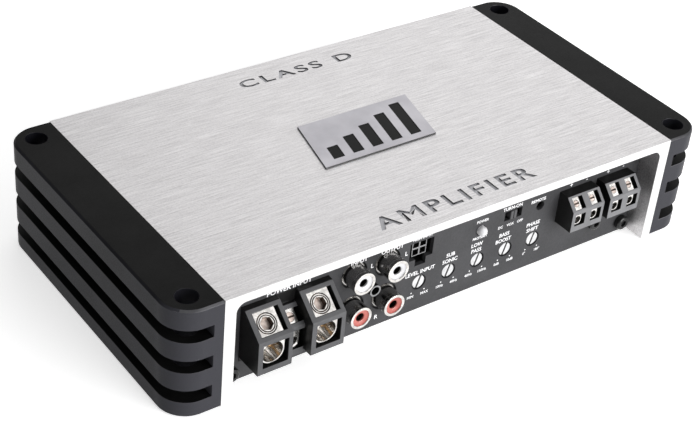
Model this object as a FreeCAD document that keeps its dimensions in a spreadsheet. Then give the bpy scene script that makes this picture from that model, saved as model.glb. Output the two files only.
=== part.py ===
import FreeCAD, Part
import Sketcher
import os
import re

# Car audio amplifier. X runs along the case, the connector panel faces -Y, +Z is up.
# The origin is the middle of the mounting plane. Every length is in millimetres.

V = FreeCAD.Vector
doc = FreeCAD.newDocument("CarAmplifier")
dims = doc.addObject("Spreadsheet::Sheet", "Dims")

sizes = {
    # case
    "caseLength": 220.0,
    "caseDepth": 113.5,
    "caseHeight": 41.8,
    "finBlockWidth": 17.0,
    "topWall": 3.05,
    "sideWall": 4.05,
    "shellInnerRadius": 3.5,
    "panelRecess": 8.5,
    "panelThickness": 1.6,
    "plateThickness": 1.5,
    "fitGap": 0.1,
    "overrun": 1.0,
    "railWidth": 5.8,
    "railTop": 8.0,
    # end blocks
    "finWeb": 3.5,
    "cornerRadius": 10.0,
    "edgeChamfer": 0.7,
    "slotHeight": 4.65,
    "slotBottom": 6.1,
    "slotPitch": 11.75,
    "mountInsetX": 8.3,
    "mountInsetY": 7.75,
    "mountHoleRadius": 2.25,
    "accessHoleRadius": 3.8,
    # fasteners: M4 countersunk, M3 countersunk and M3 pan head
    "finScrewY": 40.0,
    "finScrewLow": 14.3,
    "finScrewHigh": 26.0,
    "finScrewHole": 2.05,
    "finScrewSink": 1.75,
    "finHeadPlay": 0.05,
    "finScrewShank": 2.0,
    "finScrewHead": 3.7,
    "finScrewLength": 12.0,
    "smallHole": 1.45,
    "smallShank": 1.38,
    "clearHole": 1.6,
    "plateSink": 1.1,
    "plateScrewHead": 2.6,
    "plateScrewLength": 6.5,
    "plateScrewY": 30.0,
    "panHead": 2.75,
    "panHeight": 2.4,
    "panLength": 7.0,
    "driveSocket": 1.35,
    "driveDepth": 1.2,
    "panelScrewX": 84.9,
    "panelScrewZ": 4.2,
    "middleScrewX": 70.0,
    "middleScrewZ": 9.3,
    # badge
    "badgeHalfLength": 23.5,
    "badgeHalfDepth": 13.0,
    "badgeLean": 3.0,
    "badgeThickness": 0.6,
    "inlayThickness": 0.4,
    "barWidth": 4.4,
    "barPitch": 8.2,
    "barLow": 7.0,
    "barStep": 3.2,
    "barMargin": 3.0,
    # power terminals
    "powerLeft": 81.6,
    "powerPitch": 20.0,
    "powerWidth": 12.9,
    "powerReach": 10.8,
    "powerBottom": 9.0,
    "powerFold": 21.9,
    "powerTop": 29.1,
    "powerSlant": 39.3,
    "powerWindowInset": 1.95,
    "powerWindowWidth": 9.3,
    "powerWindowLow": 11.3,
    "powerWindowHigh": 20.2,
    "powerSlantLow": 1.7,
    "powerSlantHigh": 9.8,
    "powerSkin": 0.9,
    "powerCavityBack": 43.9,
    "powerCavityTop": 10.2,
    "powerTuck": 0.5,
    "powerClampWidth": 8.7,
    "powerClampLift": 0.6,
    "powerClampRound": 4.2,
    "powerBoreZ": 16.2,
    "powerBore": 3.9,
    "powerBoreDepth": 11.6,
    "powerDrillTip": 2.3,
    "powerDrillFlat": 0.4,
    "powerDrillLap": 0.01,
    "powerScrewSeat": 5.5,
    "powerScrewHole": 3.55,
    "powerScrewRadius": 3.47,
    "powerScrewLength": 2.9,
    "powerScrewSocket": 2.3,
    "powerScrewSink": 2.2,
    "powerTravel": 7.5,
    "terminalBack": 38.0,
    "terminalRearTop": 31.0,
    # remote turn-on terminal, set back between the two power poles
    "remoteReach": 6.6,
    "remoteBottom": 7.5,
    "remoteFold": 19.15,
    "remoteTop": 24.6,
    "remoteSlant": 44.0,
    "remoteWindowInset": 0.9,
    "remoteWindowWidth": 6.2,
    "remoteWindowLow": 10.2,
    "remoteWindowHigh": 17.6,
    "remoteSlantLow": 1.5,
    "remoteSlantHigh": 6.2,
    "remoteSkin": 0.6,
    "remoteCavityTop": 6.6,
    "remoteTuck": 0.0,
    "remoteClampWidth": 4.6,
    "remoteClampLift": 0.5,
    "remoteClampRound": 2.0,
    "remoteBoreZ": 13.4,
    "remoteBore": 1.75,
    "remoteBoreDepth": 8.6,
    "remoteScrewSeat": 3.7,
    "remoteScrewHole": 1.66,
    "remoteScrewRadius": 1.6,
    "remoteScrewLength": 6.0,
    "remoteTravel": 3.5,
    # speaker terminals
    "speakerLeft": 50.4,
    "speakerPitch": 17.8,
    "speakerWidth": 14.9,
    "speakerReach": 8.0,
    "speakerBottom": 15.7,
    "speakerFold": 24.15,
    "speakerTop": 28.4,
    "speakerSlant": 46.6,
    "poleInset": 1.6,
    "polePitch": 7.45,
    "poleWindow": 4.6,
    "poleWindowLow": 18.0,
    "poleWindowHigh": 22.6,
    "poleSlantLow": 0.6,
    "poleSlantHigh": 5.1,
    "poleSkin": 0.5,
    "poleCavityTop": 5.3,
    "poleCavityBack": 46.0,
    "poleClampWidth": 3.3,
    "poleTuck": 0.25,
    "poleClampLift": 0.3,
    "poleClampRound": 1.5,
    "poleBoreZ": 20.2,
    "poleBore": 1.45,
    "poleBoreDepth": 8.8,
    "poleScrewSeat": 2.9,
    "poleScrewHole": 1.28,
    "poleScrewRadius": 1.22,
    "poleScrewLength": 4.8,
    "poleTravel": 3.0,
    "slotWidth": 0.6,
    "slotDepth": 0.8,
    "threadRoom": 0.3,
    # RCA jacks
    "jackLeftX": 38.4,
    "jackRightX": 24.9,
    "jackLowZ": 11.5,
    "jackHighZ": 25.5,
    "rcaReach": 6.0,
    "rcaRadius": 4.15,
    "rcaWall": 0.45,
    "rcaShellSeat": 4.5,
    "rcaSeat": 6.0,
    "rcaCollar": 5.1,
    "rcaHole": 5.2,
    "rcaPinHole": 1.95,
    "rcaContact": 1.9,
    "rcaContactHole": 1.65,
    "tubePlay": 0.05,
    "collarSink": 0.6,
    "insertSink": 0.3,
    "insertFloor": 1.0,
    "contactSink": 1.2,
    "bossRadius": 2.2,
    "bossHole": 1.5,
    "bossReach": 3.5,
    "bossDepth": 11.1,
    "rcaBlockSide": 6.6,
    "rcaBlockTop": 33.0,
    "frontPartBack": 34.0,
    # four-way input socket
    "socketX": 10.85,
    "socketHalf": 4.95,
    "socketLow": 22.1,
    "socketHigh": 29.2,
    "notchLeft": 13.1,
    "notchRight": 8.6,
    "notchLow": 19.35,
    "socketWall": 1.15,
    "socketDepth": 8.0,
    "islandHalf": 3.05,
    "islandRecess": 1.3,
    "islandZ": 25.65,
    "cellPitch": 3.0,
    "cellSide": 2.4,
    "cellDepth": 5.0,
    "pinSide": 1.0,
    "pinLength": 2.5,
    # slide switch
    "switchX": 29.1,
    "switchZ": 26.3,
    "switchHalfWidth": 3.9,
    "switchHalfHeight": 1.9,
    "switchWall": 1.2,
    "switchDepth": 3.6,
    "leverWidth": 2.7,
    "leverHeight": 3.3,
    "leverReach": 0.3,
    "leverPlay": 0.2,
    "leverGroove": 0.4,
    "leverGrooveDepth": 0.35,
    # remote jack, LED and trimmers
    "plugX": 41.6,
    "plugZ": 25.6,
    "plugHole": 1.8,
    "plugBodyHalf": 3.3,
    "plugSleeve": 2.3,
    "plugSleeveLength": 4.0,
    "ledX": 15.0,
    "ledZ": 24.4,
    "ledRadius": 1.8,
    "ledReach": 0.6,
    "ledFlange": 2.5,
    "ledFlangeLength": 1.0,
    "ledBodyBack": 41.0,
    "ledLead": 0.5,
    "ledLeadPitch": 2.54,
    "ledLeadLap": 0.5,
    "ledHole": 2.05,
    "trimmerFirstX": -10.2,
    "trimmerPitch": 12.7,
    "trimmerZ": 11.7,
    "trimmerRadius": 2.5,
    "trimmerReach": -0.3,
    "trimmerHole": 3.0,
    "trimmerHalf": 4.75,
    "trimmerBodyFront": 40.5,
    "trimmerJournal": 1.9,
    "trimmerBearing": 1.96,
    "trimmerJournalLength": 4.5,
    "trimmerJournalLap": 0.5,
    "trimmerPlay": 0.3,
    "trimmerSlotWidth": 0.75,
    "trimmerSlotDepth": 0.8,
    "trimmerLean": 17.6,
    # boards
    "boardLow": 4.2,
    "boardThickness": 1.6,
    "boardHalfLength": 82.3,
    "boardHalfDepth": 44.0,
    "boardScrewX": 74.0,
    "boardScrewY": 33.0,
    "standoffRadius": 2.75,
    "controlLeft": -17.5,
    "controlRight": 47.5,
    "controlTop": 33.0,
    "headerLeft": -2.0,
    "headerPitch": 2.54,
    "headerHeight": 2.5,
    "headerPin": 0.6,
    "headerPinSink": 1.0,
    "headerPinTop": 8.0,
    # magnetics and capacitors
    "transformerX": -31.0,
    "transformerOuter": 14.0,
    "transformerInner": 8.0,
    "transformerThick": 10.0,
    "inductorX": 36.0,
    "inductorOuter": 11.0,
    "inductorInner": 6.0,
    "inductorThick": 9.0,
    "turnWidth": 2.0,
    "turnThick": 1.3,
    "turnGap": 0.2,
    "ringY": 4.0,
    "ringLift": 3.2,
    "supplyCapX": -60.0,
    "supplyCapRadius": 8.0,
    "supplyCapPitch": 19.0,
    "railCapX": 4.0,
    "railCapRadius": 6.25,
    "railCapPitch": 15.0,
    "capHeight": 25.0,
    "capVent": 0.6,
    "ventShare": 0.7,
    # power transistors on the side walls
    "padThickness": 0.5,
    "padHalfDepth": 33.0,
    "padLow": 9.0,
    "padHigh": 30.0,
    "tabThickness": 1.3,
    "packageThickness": 4.5,
    "packageWidth": 10.0,
    "packageLow": 11.0,
    "packageTop": 20.5,
    "tabTop": 27.0,
    "transistorPitch": 16.0,
    "legWidth": 0.9,
    "legPitch": 2.54,
    "legThickness": 0.6,
    "legStep": 3.4,
    "legRest": 0.5,
    "legLap": 1.0,
    "clampThickness": 2.0,
    "clampLow": 13.0,
    "clampHigh": 20.0,
    "clampHalfDepth": 31.0,
    "clampScrewDepth": 2.6,
    # control chips
    "chipX": 62.0,
    "chipPitch": 14.0,
    "chipLength": 10.0,
    "chipWidth": 4.0,
    "chipHeight": 1.75,
    "chipNotchDepth": 0.3,
}
tolerance = 1e-3
headerPins = 8
chipCount = 4
for row, (alias, size) in enumerate(sizes.items(), start=1):
    dims.set(f"A{row}", alias)
    dims.set(f"B{row}", str(size))
    dims.setAlias(f"B{row}", alias)
doc.recompute()

nodes = {}

# places that many pieces share, as expressions of the driving sizes
shellHalf = "(caseLength / 2 - finBlockWidth)"
insideHalf = "(caseLength / 2 - finBlockWidth - sideWall)"
insideTop = "(caseHeight - topWall)"
halfDepth = "(caseDepth / 2)"
panelFront = "(caseDepth / 2 - panelRecess)"
panelBack = "(caseDepth / 2 - panelRecess - panelThickness)"
railMiddle = f"({insideHalf} - railWidth / 2)"
boardTop = "(boardLow + boardThickness)"
packageBack = f"({insideHalf} - padThickness)"

frontScrewSpots = (
    ("panelScrewX", "panelScrewZ"),
    ("-panelScrewX", "panelScrewZ"),
    ("middleScrewX", "middleScrewZ"),
)
trimmerNames = ("level", "subsonic", "low_pass", "bass", "phase")

turns = {
    "X": FreeCAD.Rotation(V(0, 1, 0), 90),
    "-X": FreeCAD.Rotation(V(0, 1, 0), -90),
    "Y": FreeCAD.Rotation(V(1, 0, 0), -90),
    "-Y": FreeCAD.Rotation(V(1, 0, 0), 90),
    "Z": FreeCAD.Rotation(),
    "-Z": FreeCAD.Rotation(V(1, 0, 0), 180),
}


def cell(text):
    # puts the sheet's name in front of every alias in an expression
    def named(word):
        return "Dims." + word.group(0) if word.group(0) in sizes else word.group(0)

    return re.sub(r"[a-z]\w+", named, text)


def number(text):
    return float(dims.evalExpression(cell(text)))


def bind(item, **settings):
    for prop, text in settings.items():
        item.setExpression(prop, cell(text))


def move(item, at):
    for axis, text in zip("xyz", at):
        item.setExpression("Placement.Base." + axis, cell(text))


def keep(item, label):
    item.Label = label
    nodes[label] = item
    return item


# ---- Part primitives ----

def box(name, start, size):
    item = doc.addObject("Part::Box", name)
    bind(item, Length=size[0], Width=size[1], Height=size[2])
    move(item, start)
    return item


def blockBetween(name, low, high):
    return box(name, low, [f"({b}) - ({a})" for a, b in zip(low, high)])


def rod(name, radius, length, at=("0", "0", "0"), axis="Z"):
    item = doc.addObject("Part::Cylinder", name)
    bind(item, Radius=radius, Height=length)
    item.Placement.Rotation = turns[axis]
    move(item, at)
    return item


def cone(name, lowRadius, highRadius, length, at=("0", "0", "0"), axis="Z"):
    item = doc.addObject("Part::Cone", name)
    bind(item, Radius1=lowRadius, Radius2=highRadius, Height=length)
    item.Placement.Rotation = turns[axis]
    move(item, at)
    return item


def hexPrism(name, circumradius, length, at=("0", "0", "0")):
    item = doc.addObject("Part::Prism", name)
    item.Polygon = 6
    bind(item, Circumradius=circumradius, Height=length)
    move(item, at)
    return item


def fuse(name, items):
    item = doc.addObject("Part::MultiFuse", name)
    item.Shapes = items
    return item


def cut(name, base, tools):
    item = doc.addObject("Part::Cut", name)
    item.Base = base
    item.Tool = tools[0] if len(tools) == 1 else fuse(name + "Tools", tools)
    return item


def group(label, items):
    item = doc.addObject("Part::Compound", label)
    item.Links = items
    return keep(item, label)


def aim(item, at, axis):
    # a screw is made pointing along its own +Z, then turned and put in place
    item.Placement.Rotation = turns[axis]
    move(item, at)
    return item


# ---- PartDesign ----

def makeBody(label):
    return keep(doc.addObject("PartDesign::Body", label), label)


def sketchOn(owner, plane, offset="0"):
    sketch = owner.newObject("Sketcher::SketchObject", owner.Name + "Sketch")
    support = [item for item in owner.Origin.OriginFeatures if item.Role == plane + "_Plane"][0]
    sketch.AttachmentSupport = (support, [""])
    sketch.MapMode = "FlatFace"
    sketch.setExpression("AttachmentOffset.Base.z", cell(offset))
    return sketch


def tie(sketch, kind, geometry, point, text):
    spot = sketch.addConstraint(Sketcher.Constraint(kind, -1, 1, geometry, point, number(text)))
    sketch.setExpression(f"Constraints[{spot}]", cell(text))


def addLoop(sketch, corners):
    first = sketch.GeometryCount
    total = len(corners)
    spots = [V(number(u), number(v), 0) for u, v in corners]
    for i in range(total):
        sketch.addGeometry(Part.LineSegment(spots[i], spots[(i + 1) % total]), False)
    for i, (u, v) in enumerate(corners):
        following = first + (i + 1) % total
        sketch.addConstraint(Sketcher.Constraint("Coincident", first + i, 2, following, 1))
        tie(sketch, "DistanceX", first + i, 1, u)
        tie(sketch, "DistanceY", first + i, 1, v)


def addRect(sketch, u0, v0, u1, v1):
    addLoop(sketch, [(u0, v0), (u0, v1), (u1, v1), (u1, v0)])


def addCircle(sketch, u, v, radius):
    middle = V(number(u), number(v), 0)
    spot = sketch.addGeometry(Part.Circle(middle, V(0, 0, 1), number(radius)), False)
    tie(sketch, "DistanceX", spot, 3, u)
    tie(sketch, "DistanceY", spot, 3, v)
    size = sketch.addConstraint(Sketcher.Constraint("Radius", spot, number(radius)))
    sketch.setExpression(f"Constraints[{size}]", cell(radius))


def extrude(owner, kind, sketch, length, reverse=False, middle=False):
    item = owner.newObject("PartDesign::" + kind, owner.Name + kind)
    item.Profile = sketch
    bind(item, Length=length)
    item.Reversed = reverse
    item.Midplane = middle
    return item


def pad(owner, sketch, length, **way):
    return extrude(owner, "Pad", sketch, length, **way)


def pocket(owner, sketch, length, **way):
    return extrude(owner, "Pocket", sketch, length, **way)


def dress(owner, kind, base, wanted, **settings):
    # a fillet or chamfer on the edges of the base that pass the test
    doc.recompute()
    names = [f"Edge{i}" for i, edge in enumerate(base.Shape.Edges, start=1) if wanted(edge)]
    item = owner.newObject("PartDesign::" + kind, owner.Name + kind)
    item.Base = (base, names)
    bind(item, **settings)
    return item


def runsAlong(edge, axis):
    room = edge.BoundBox
    spans = {"X": room.XLength, "Y": room.YLength, "Z": room.ZLength}
    others = [span for key, span in spans.items() if key != axis]
    return max(others) < tolerance and spans[axis] > tolerance


def near(a, b):
    return abs(a - b) < tolerance


def isRound(edge):
    return isinstance(edge.Curve, Part.Circle)


# ---- case ----

def heatsinkShell():
    owner = makeBody("heatsink_shell")
    outline = sketchOn(owner, "XZ")
    addLoop(outline, [
        (f"-{shellHalf}", "0"), (f"-{shellHalf}", "caseHeight"),
        (shellHalf, "caseHeight"), (shellHalf, "0"),
        (insideHalf, "0"), (insideHalf, insideTop),
        (f"-{insideHalf}", insideTop), (f"-{insideHalf}", "0"),
    ])
    channel = pad(owner, outline, "caseDepth", middle=True)
    halfInside = number(insideHalf)
    topInside = number(insideTop)
    dress(owner, "Fillet", channel,
          lambda edge: runsAlong(edge, "Y") and near(abs(edge.CenterOfMass.x), halfInside)
          and near(edge.CenterOfMass.z, topInside), Radius="shellInnerRadius")
    rails = sketchOn(owner, "XZ")
    for side in ("", "-"):
        addRect(rails, f"{side}({insideHalf} - railWidth)", "plateThickness",
                f"{side}{insideHalf}", "railTop")
    pad(owner, rails, f"2 * {panelBack}", middle=True)
    # tapped ends of the rails, for the two panels
    for offset, inwards in ((panelBack, False), (f"-{panelBack}", True)):
        ends = sketchOn(owner, "XZ", offset)
        for side in ("", "-"):
            addCircle(ends, f"{side}panelScrewX", "panelScrewZ", "smallHole")
        pocket(owner, ends, "panLength", reverse=inwards)
    # tapped holes in the rails, for the bottom plate
    under = sketchOn(owner, "XY", "plateThickness")
    for side in ("", "-"):
        for y in ("-plateScrewY", "0", "plateScrewY"):
            addCircle(under, f"{side}{railMiddle}", y, "smallHole")
    pocket(owner, under, "plateScrewLength - plateThickness + fitGap", reverse=True)
    # countersunk holes for the end block screws
    wall = sketchOn(owner, "YZ")
    for y in ("-finScrewY", "finScrewY"):
        for z in ("finScrewLow", "finScrewHigh"):
            addCircle(wall, y, z, "finScrewHole")
    bores = pocket(owner, wall, "caseLength", middle=True)
    dress(owner, "Chamfer", bores,
          lambda edge: isRound(edge) and near(abs(edge.CenterOfMass.x), halfInside)
          and near(edge.Curve.Radius, sizes["finScrewHole"]), Size="finScrewSink")
    # blind holes for the transistor clamp screws
    for offset, outwards in ((insideHalf, True), (f"-{insideHalf}", False)):
        blind = sketchOn(owner, "YZ", offset)
        for y in ("-transistorPitch", "0", "transistorPitch"):
            addCircle(blind, y, "(clampLow + clampHigh) / 2", "smallHole")
        pocket(owner, blind, "clampScrewDepth + fitGap", reverse=outwards)


def finBlock(label, side, outwards):
    owner = makeBody(label)
    plan = sketchOn(owner, "XY")
    addRect(plan, f"{side}{shellHalf}", f"-{halfDepth}", f"{side}(caseLength / 2)", halfDepth)
    solid = pad(owner, plan, "caseHeight")
    farX = sizes["caseLength"] / 2
    nearX = number(shellHalf)
    rounded = dress(owner, "Fillet", solid,
                    lambda edge: runsAlong(edge, "Z") and near(abs(edge.CenterOfMass.x), farX),
                    Radius="cornerRadius")
    dress(owner, "Chamfer", rounded,
          lambda edge: edge.BoundBox.ZLength < tolerance and not near(abs(edge.CenterOfMass.x), nearX),
          Size="edgeChamfer")
    slots = sketchOn(owner, "XZ")
    for level in range(3):
        low = f"(slotBottom + {level} * slotPitch)"
        addRect(slots, f"{side}({shellHalf} + finWeb)", low,
                f"{side}(caseLength / 2 + fitGap)", f"{low} + slotHeight")
    pocket(owner, slots, "2 * caseDepth", middle=True)
    drillings = (("accessHoleRadius", "caseHeight - slotBottom"), ("mountHoleRadius", "2 * caseHeight"))
    for radius, depth in drillings:
        holes = sketchOn(owner, "XY", "caseHeight")
        for y in (f"-({halfDepth} - mountInsetY)", f"{halfDepth} - mountInsetY"):
            addCircle(holes, f"{side}(caseLength / 2 - mountInsetX)", y, radius)
        pocket(owner, holes, depth)
    tapped = sketchOn(owner, "YZ", f"{side}{shellHalf}")
    for y in ("-finScrewY", "finScrewY"):
        for z in ("finScrewLow", "finScrewHigh"):
            addCircle(tapped, y, z, "finScrewHole")
    pocket(owner, tapped, "finScrewLength - sideWall + fitGap", reverse=outwards)


def bottomPlate():
    owner = makeBody("bottom_plate")
    plan = sketchOn(owner, "XY")
    addRect(plan, f"-({insideHalf} - fitGap)", f"-{panelFront}", f"{insideHalf} - fitGap", panelFront)
    sheet = pad(owner, plan, "plateThickness")
    holes = sketchOn(owner, "XY", "plateThickness")
    for side in ("", "-"):
        for y in ("-plateScrewY", "0", "plateScrewY"):
            addCircle(holes, f"{side}{railMiddle}", y, "clearHole")
    drilled = pocket(owner, holes, "2 * plateThickness")
    dress(owner, "Chamfer", drilled,
          lambda edge: isRound(edge) and near(edge.CenterOfMass.z, 0), Size="plateSink")


def blankPanel(label, offset, wayIn):
    owner = makeBody(label)
    face = sketchOn(owner, "XZ", offset)
    addRect(face, f"-({insideHalf} - fitGap)", "plateThickness",
            f"{insideHalf} - fitGap", f"{insideTop} - fitGap")
    sheet = pad(owner, face, "panelThickness", reverse=wayIn)
    topEdge = number(f"{insideTop} - fitGap")
    dress(owner, "Fillet", sheet,
          lambda edge: runsAlong(edge, "Y") and near(edge.CenterOfMass.z, topEdge),
          Radius="shellInnerRadius")
    return owner


def frontPanel():
    owner = blankPanel("front_panel", panelFront, True)
    holes = sketchOn(owner, "XZ", panelFront)
    for x, z in frontScrewSpots:
        addCircle(holes, x, z, "clearHole")
    addRect(holes, "-(powerLeft + fitGap)", "remoteBottom - fitGap",
            "powerPitch + powerWidth + fitGap - powerLeft", "powerTop + fitGap")
    for x in ("speakerLeft", "(speakerLeft + speakerPitch)"):
        addRect(holes, f"{x} - fitGap", "speakerBottom - fitGap",
                f"{x} + speakerWidth + fitGap", "speakerTop + fitGap")
    for x in ("-jackLeftX", "-jackRightX"):
        for z in ("jackLowZ", "jackHighZ"):
            addCircle(holes, x, z, "rcaHole")
    addCircle(holes, "-(jackLeftX + jackRightX) / 2", "(jackLowZ + jackHighZ) / 2", "bossRadius + fitGap")
    addLoop(holes, socketOutline())
    addRect(holes, "switchX - switchHalfWidth", "switchZ - switchHalfHeight",
            "switchX + switchHalfWidth", "switchZ + switchHalfHeight")
    addCircle(holes, "plugX", "plugZ", "plugHole")
    addCircle(holes, "ledX", "ledZ", "ledHole")
    for k in range(len(trimmerNames)):
        addCircle(holes, f"trimmerFirstX + {k} * trimmerPitch", "trimmerZ", "trimmerHole")
    pocket(owner, holes, "2 * panelThickness")


def socketOutline():
    left = "-(socketX + socketHalf)"
    right = "-(socketX - socketHalf)"
    return [
        (left, "socketLow"), (left, "socketHigh"), (right, "socketHigh"), (right, "socketLow"),
        ("-notchRight", "socketLow"), ("-notchRight", "notchLow"),
        ("-notchLeft", "notchLow"), ("-notchLeft", "socketLow"),
    ]


def rearPanel():
    owner = blankPanel("rear_panel", f"-{panelBack}", True)
    holes = sketchOn(owner, "XZ", f"-{panelFront}")
    for x in ("panelScrewX", "-panelScrewX"):
        addCircle(holes, x, "panelScrewZ", "clearHole")
    pocket(owner, holes, "2 * panelThickness", reverse=True)


def badgeCorner(x, y):
    # the badge leans to the right, so x grows with y
    return (f"({x}) + ({y}) * badgeLean / badgeHalfDepth", y)


def badgeBar(k):
    x = f"({k} - 2) * barPitch"
    low = "-(badgeHalfDepth - barMargin)"
    top = f"(barLow + {k} * barStep + {low})"
    half = "barWidth / 2"
    return [badgeCorner(f"{x} - {half}", low), badgeCorner(f"{x} - {half}", top),
            badgeCorner(f"{x} + {half}", top), badgeCorner(f"{x} + {half}", low)]


def badge():
    plate = makeBody("top_badge")
    outline = sketchOn(plate, "XY", "caseHeight")
    addLoop(outline, [
        badgeCorner("-badgeHalfLength", "-badgeHalfDepth"), badgeCorner("-badgeHalfLength", "badgeHalfDepth"),
        badgeCorner("badgeHalfLength", "badgeHalfDepth"), badgeCorner("badgeHalfLength", "-badgeHalfDepth"),
    ])
    pad(plate, outline, "badgeThickness")
    windows = sketchOn(plate, "XY", "caseHeight + badgeThickness")
    inlay = makeBody("badge_inlay")
    bars = sketchOn(inlay, "XY", "caseHeight")
    for k in range(5):
        addLoop(windows, badgeBar(k))
        addLoop(bars, badgeBar(k))
    pocket(plate, windows, "2 * badgeThickness")
    pad(inlay, bars, "inlayThickness")


# ---- fasteners ----

def sunkScrew(name, head, sink, shank, length, at, axis):
    parts = [
        cone(name + "Head", head, shank, sink),
        rod(name + "Shank", shank, length),
    ]
    socket = hexPrism(name + "Socket", "driveSocket", "driveDepth + overrun", ("0", "0", "-overrun"))
    return aim(cut(name, fuse(name + "Solid", parts), [socket]), at, axis)


def panScrew(name, length, at, axis):
    parts = [
        rod(name + "Head", "panHead", "panHeight", ("0", "0", "-panHeight")),
        rod(name + "Shank", "smallShank", length),
    ]
    top = ("0", "0", "-panHeight - overrun")
    socket = hexPrism(name + "Socket", "driveSocket", "driveDepth + overrun", top)
    return aim(cut(name, fuse(name + "Solid", parts), [socket]), at, axis)


def caseScrews():
    sideScrews = []
    plateScrews = []
    for side, axis in (("", "X"), ("-", "-X")):
        for y in ("-finScrewY", "finScrewY"):
            for z in ("finScrewLow", "finScrewHigh"):
                name = f"FinScrew{len(sideScrews)}"
                at = (f"{side}{insideHalf}", y, z)
                sideScrews.append(sunkScrew(name, "finScrewHead", "finScrewSink - finHeadPlay",
                                            "finScrewShank", "finScrewLength", at, axis))
        for y in ("-plateScrewY", "0", "plateScrewY"):
            name = f"PlateScrew{len(plateScrews)}"
            at = (f"{side}{railMiddle}", y, "0")
            plateScrews.append(sunkScrew(name, "plateScrewHead", "plateSink + fitGap",
                                         "smallShank", "plateScrewLength", at, "Z"))
    group("fin_block_screws", sideScrews)
    group("bottom_plate_screws", plateScrews)
    front = [panScrew(f"FrontScrew{i}", "panLength", (x, f"-{panelFront}", z), "Y")
             for i, (x, z) in enumerate(frontScrewSpots)]
    rear = [panScrew(f"RearScrew{i}", "panLength", (x, panelFront, "panelScrewZ"), "-Y")
            for i, x in enumerate(("panelScrewX", "-panelScrewX"))]
    group("front_panel_screws", front)
    group("rear_panel_screws", rear)


# ---- screw terminals ----

def slantPoint(kind, along, out):
    # a point on the slanted face of a terminal: along it from the fold, and out from it
    front = f"-({panelFront} + {kind}Reach)"
    return (f"{front} + ({along}) * cos({kind}Slant) - ({out}) * sin({kind}Slant)",
            f"{kind}Fold + ({along}) * sin({kind}Slant) + ({out}) * cos({kind}Slant)")


def poleOutline(kind):
    front = f"-({panelFront} + {kind}Reach)"
    topFront = f"{front} + ({kind}Top - {kind}Fold) / tan({kind}Slant)"
    return [(f"-{panelFront}", f"{kind}Bottom"), (front, f"{kind}Bottom"), (front, f"{kind}Fold"),
            (topFront, f"{kind}Top"), (f"-{panelFront}", f"{kind}Top")]


def cavityOutline(kind, prefix, low, back):
    # the space behind the two thin front faces that holds the metal clamp body
    front = f"-({panelFront} + {kind}Reach - {prefix}Skin)"
    fold = f"{kind}Fold - {prefix}Skin * (1 - sin({kind}Slant)) / cos({kind}Slant)"
    top = slantPoint(kind, f"{prefix}CavityTop", f"-{prefix}Skin")
    return [(front, low), (front, fold), top, (f"-{back}", top[1]), (f"-{back}", low)]


def terminalPole(owner, kind, prefix, poleX, poleWidth, windows, windowWidth, back):
    # one moulded pole, then its cavities and the two windows of each
    outline = sketchOn(owner, "YZ", poleX)
    addLoop(outline, poleOutline(kind))
    pad(owner, outline, poleWidth)
    for x in windows:
        hollow = sketchOn(owner, "YZ", f"{x} - {prefix}Tuck")
        addLoop(hollow, cavityOutline(kind, prefix, f"{prefix}WindowLow", back))
        pocket(owner, hollow, f"{windowWidth} + {prefix}Tuck", reverse=True)
        upper = sketchOn(owner, "YZ", x)
        low = f"{prefix}SlantLow"
        high = f"{prefix}SlantHigh"
        addLoop(upper, [slantPoint(kind, low, "overrun"), slantPoint(kind, high, "overrun"),
                        slantPoint(kind, high, "-2 * overrun"), slantPoint(kind, low, "-2 * overrun")])
        pocket(owner, upper, windowWidth, reverse=True)
        lower = sketchOn(owner, "XZ", f"{panelFront} + {kind}Reach")
        addRect(lower, x, f"{prefix}WindowLow", f"{x} + {windowWidth}", f"{prefix}WindowHigh")
        pocket(owner, lower, f"2 * {prefix}Skin")


def powerX(pole):
    return f"({pole} * powerPitch - powerLeft)"


def remoteX():
    return "(powerWidth - powerLeft)"


def powerHousing():
    owner = makeBody("power_terminal_housing")
    width = "powerPitch + powerWidth"
    neck = sketchOn(owner, "YZ", powerX(0))
    addRect(neck, f"-{panelFront}", "remoteBottom", "-terminalBack", "powerTop")
    pad(owner, neck, width)
    rear = sketchOn(owner, "YZ", powerX(0))
    addRect(rear, f"-{panelBack}", boardTop, "-terminalBack", "terminalRearTop")
    pad(owner, rear, width)
    terminalPole(owner, "remote", "remote", remoteX(), "powerPitch - powerWidth",
                 [f"({remoteX()} + remoteWindowInset)"], "remoteWindowWidth", "powerCavityBack")
    for pole in range(2):
        terminalPole(owner, "power", "power", powerX(pole), "powerWidth",
                     [f"({powerX(pole)} + powerWindowInset)"], "powerWindowWidth", "powerCavityBack")


def clampBody(label, kind, prefix, x, width, back):
    # metal body with a wire bore from the front and a threaded hole across it
    owner = doc.addObject("PartDesign::Body", label)
    outline = sketchOn(owner, "YZ", x)
    bottom = f"{prefix}WindowLow + {prefix}ClampLift"
    addLoop(outline, cavityOutline(kind, prefix, bottom, back))
    block = pad(owner, outline, width)
    bottomZ = number(bottom)
    dress(owner, "Fillet", block,
          lambda edge: runsAlong(edge, "Y") and near(edge.CenterOfMass.z, bottomZ),
          Radius=f"{prefix}ClampRound")
    front = f"{panelFront} + {kind}Reach - {prefix}Skin"
    wire = sketchOn(owner, "XZ", front)
    addCircle(wire, f"{x} + ({width}) / 2", f"{prefix}BoreZ", f"{prefix}Bore")
    pocket(owner, wire, f"{prefix}BoreDepth")
    seat = slantPoint(kind, f"{prefix}ScrewSeat", f"-{prefix}Skin")
    depth = f"({prefix}ScrewLength + {prefix}Travel + threadRoom)"
    thread = rod(label + "Thread", f"{prefix}ScrewHole", f"{depth} + 2 * overrun", ("0", "0", f"-{depth}"))
    tilted = doc.addObject("Part::Compound", label + "Tilted")
    tilted.Links = [thread]
    lean(tilted, kind, (f"{x} + ({width}) / 2",) + seat)
    return owner, tilted


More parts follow.
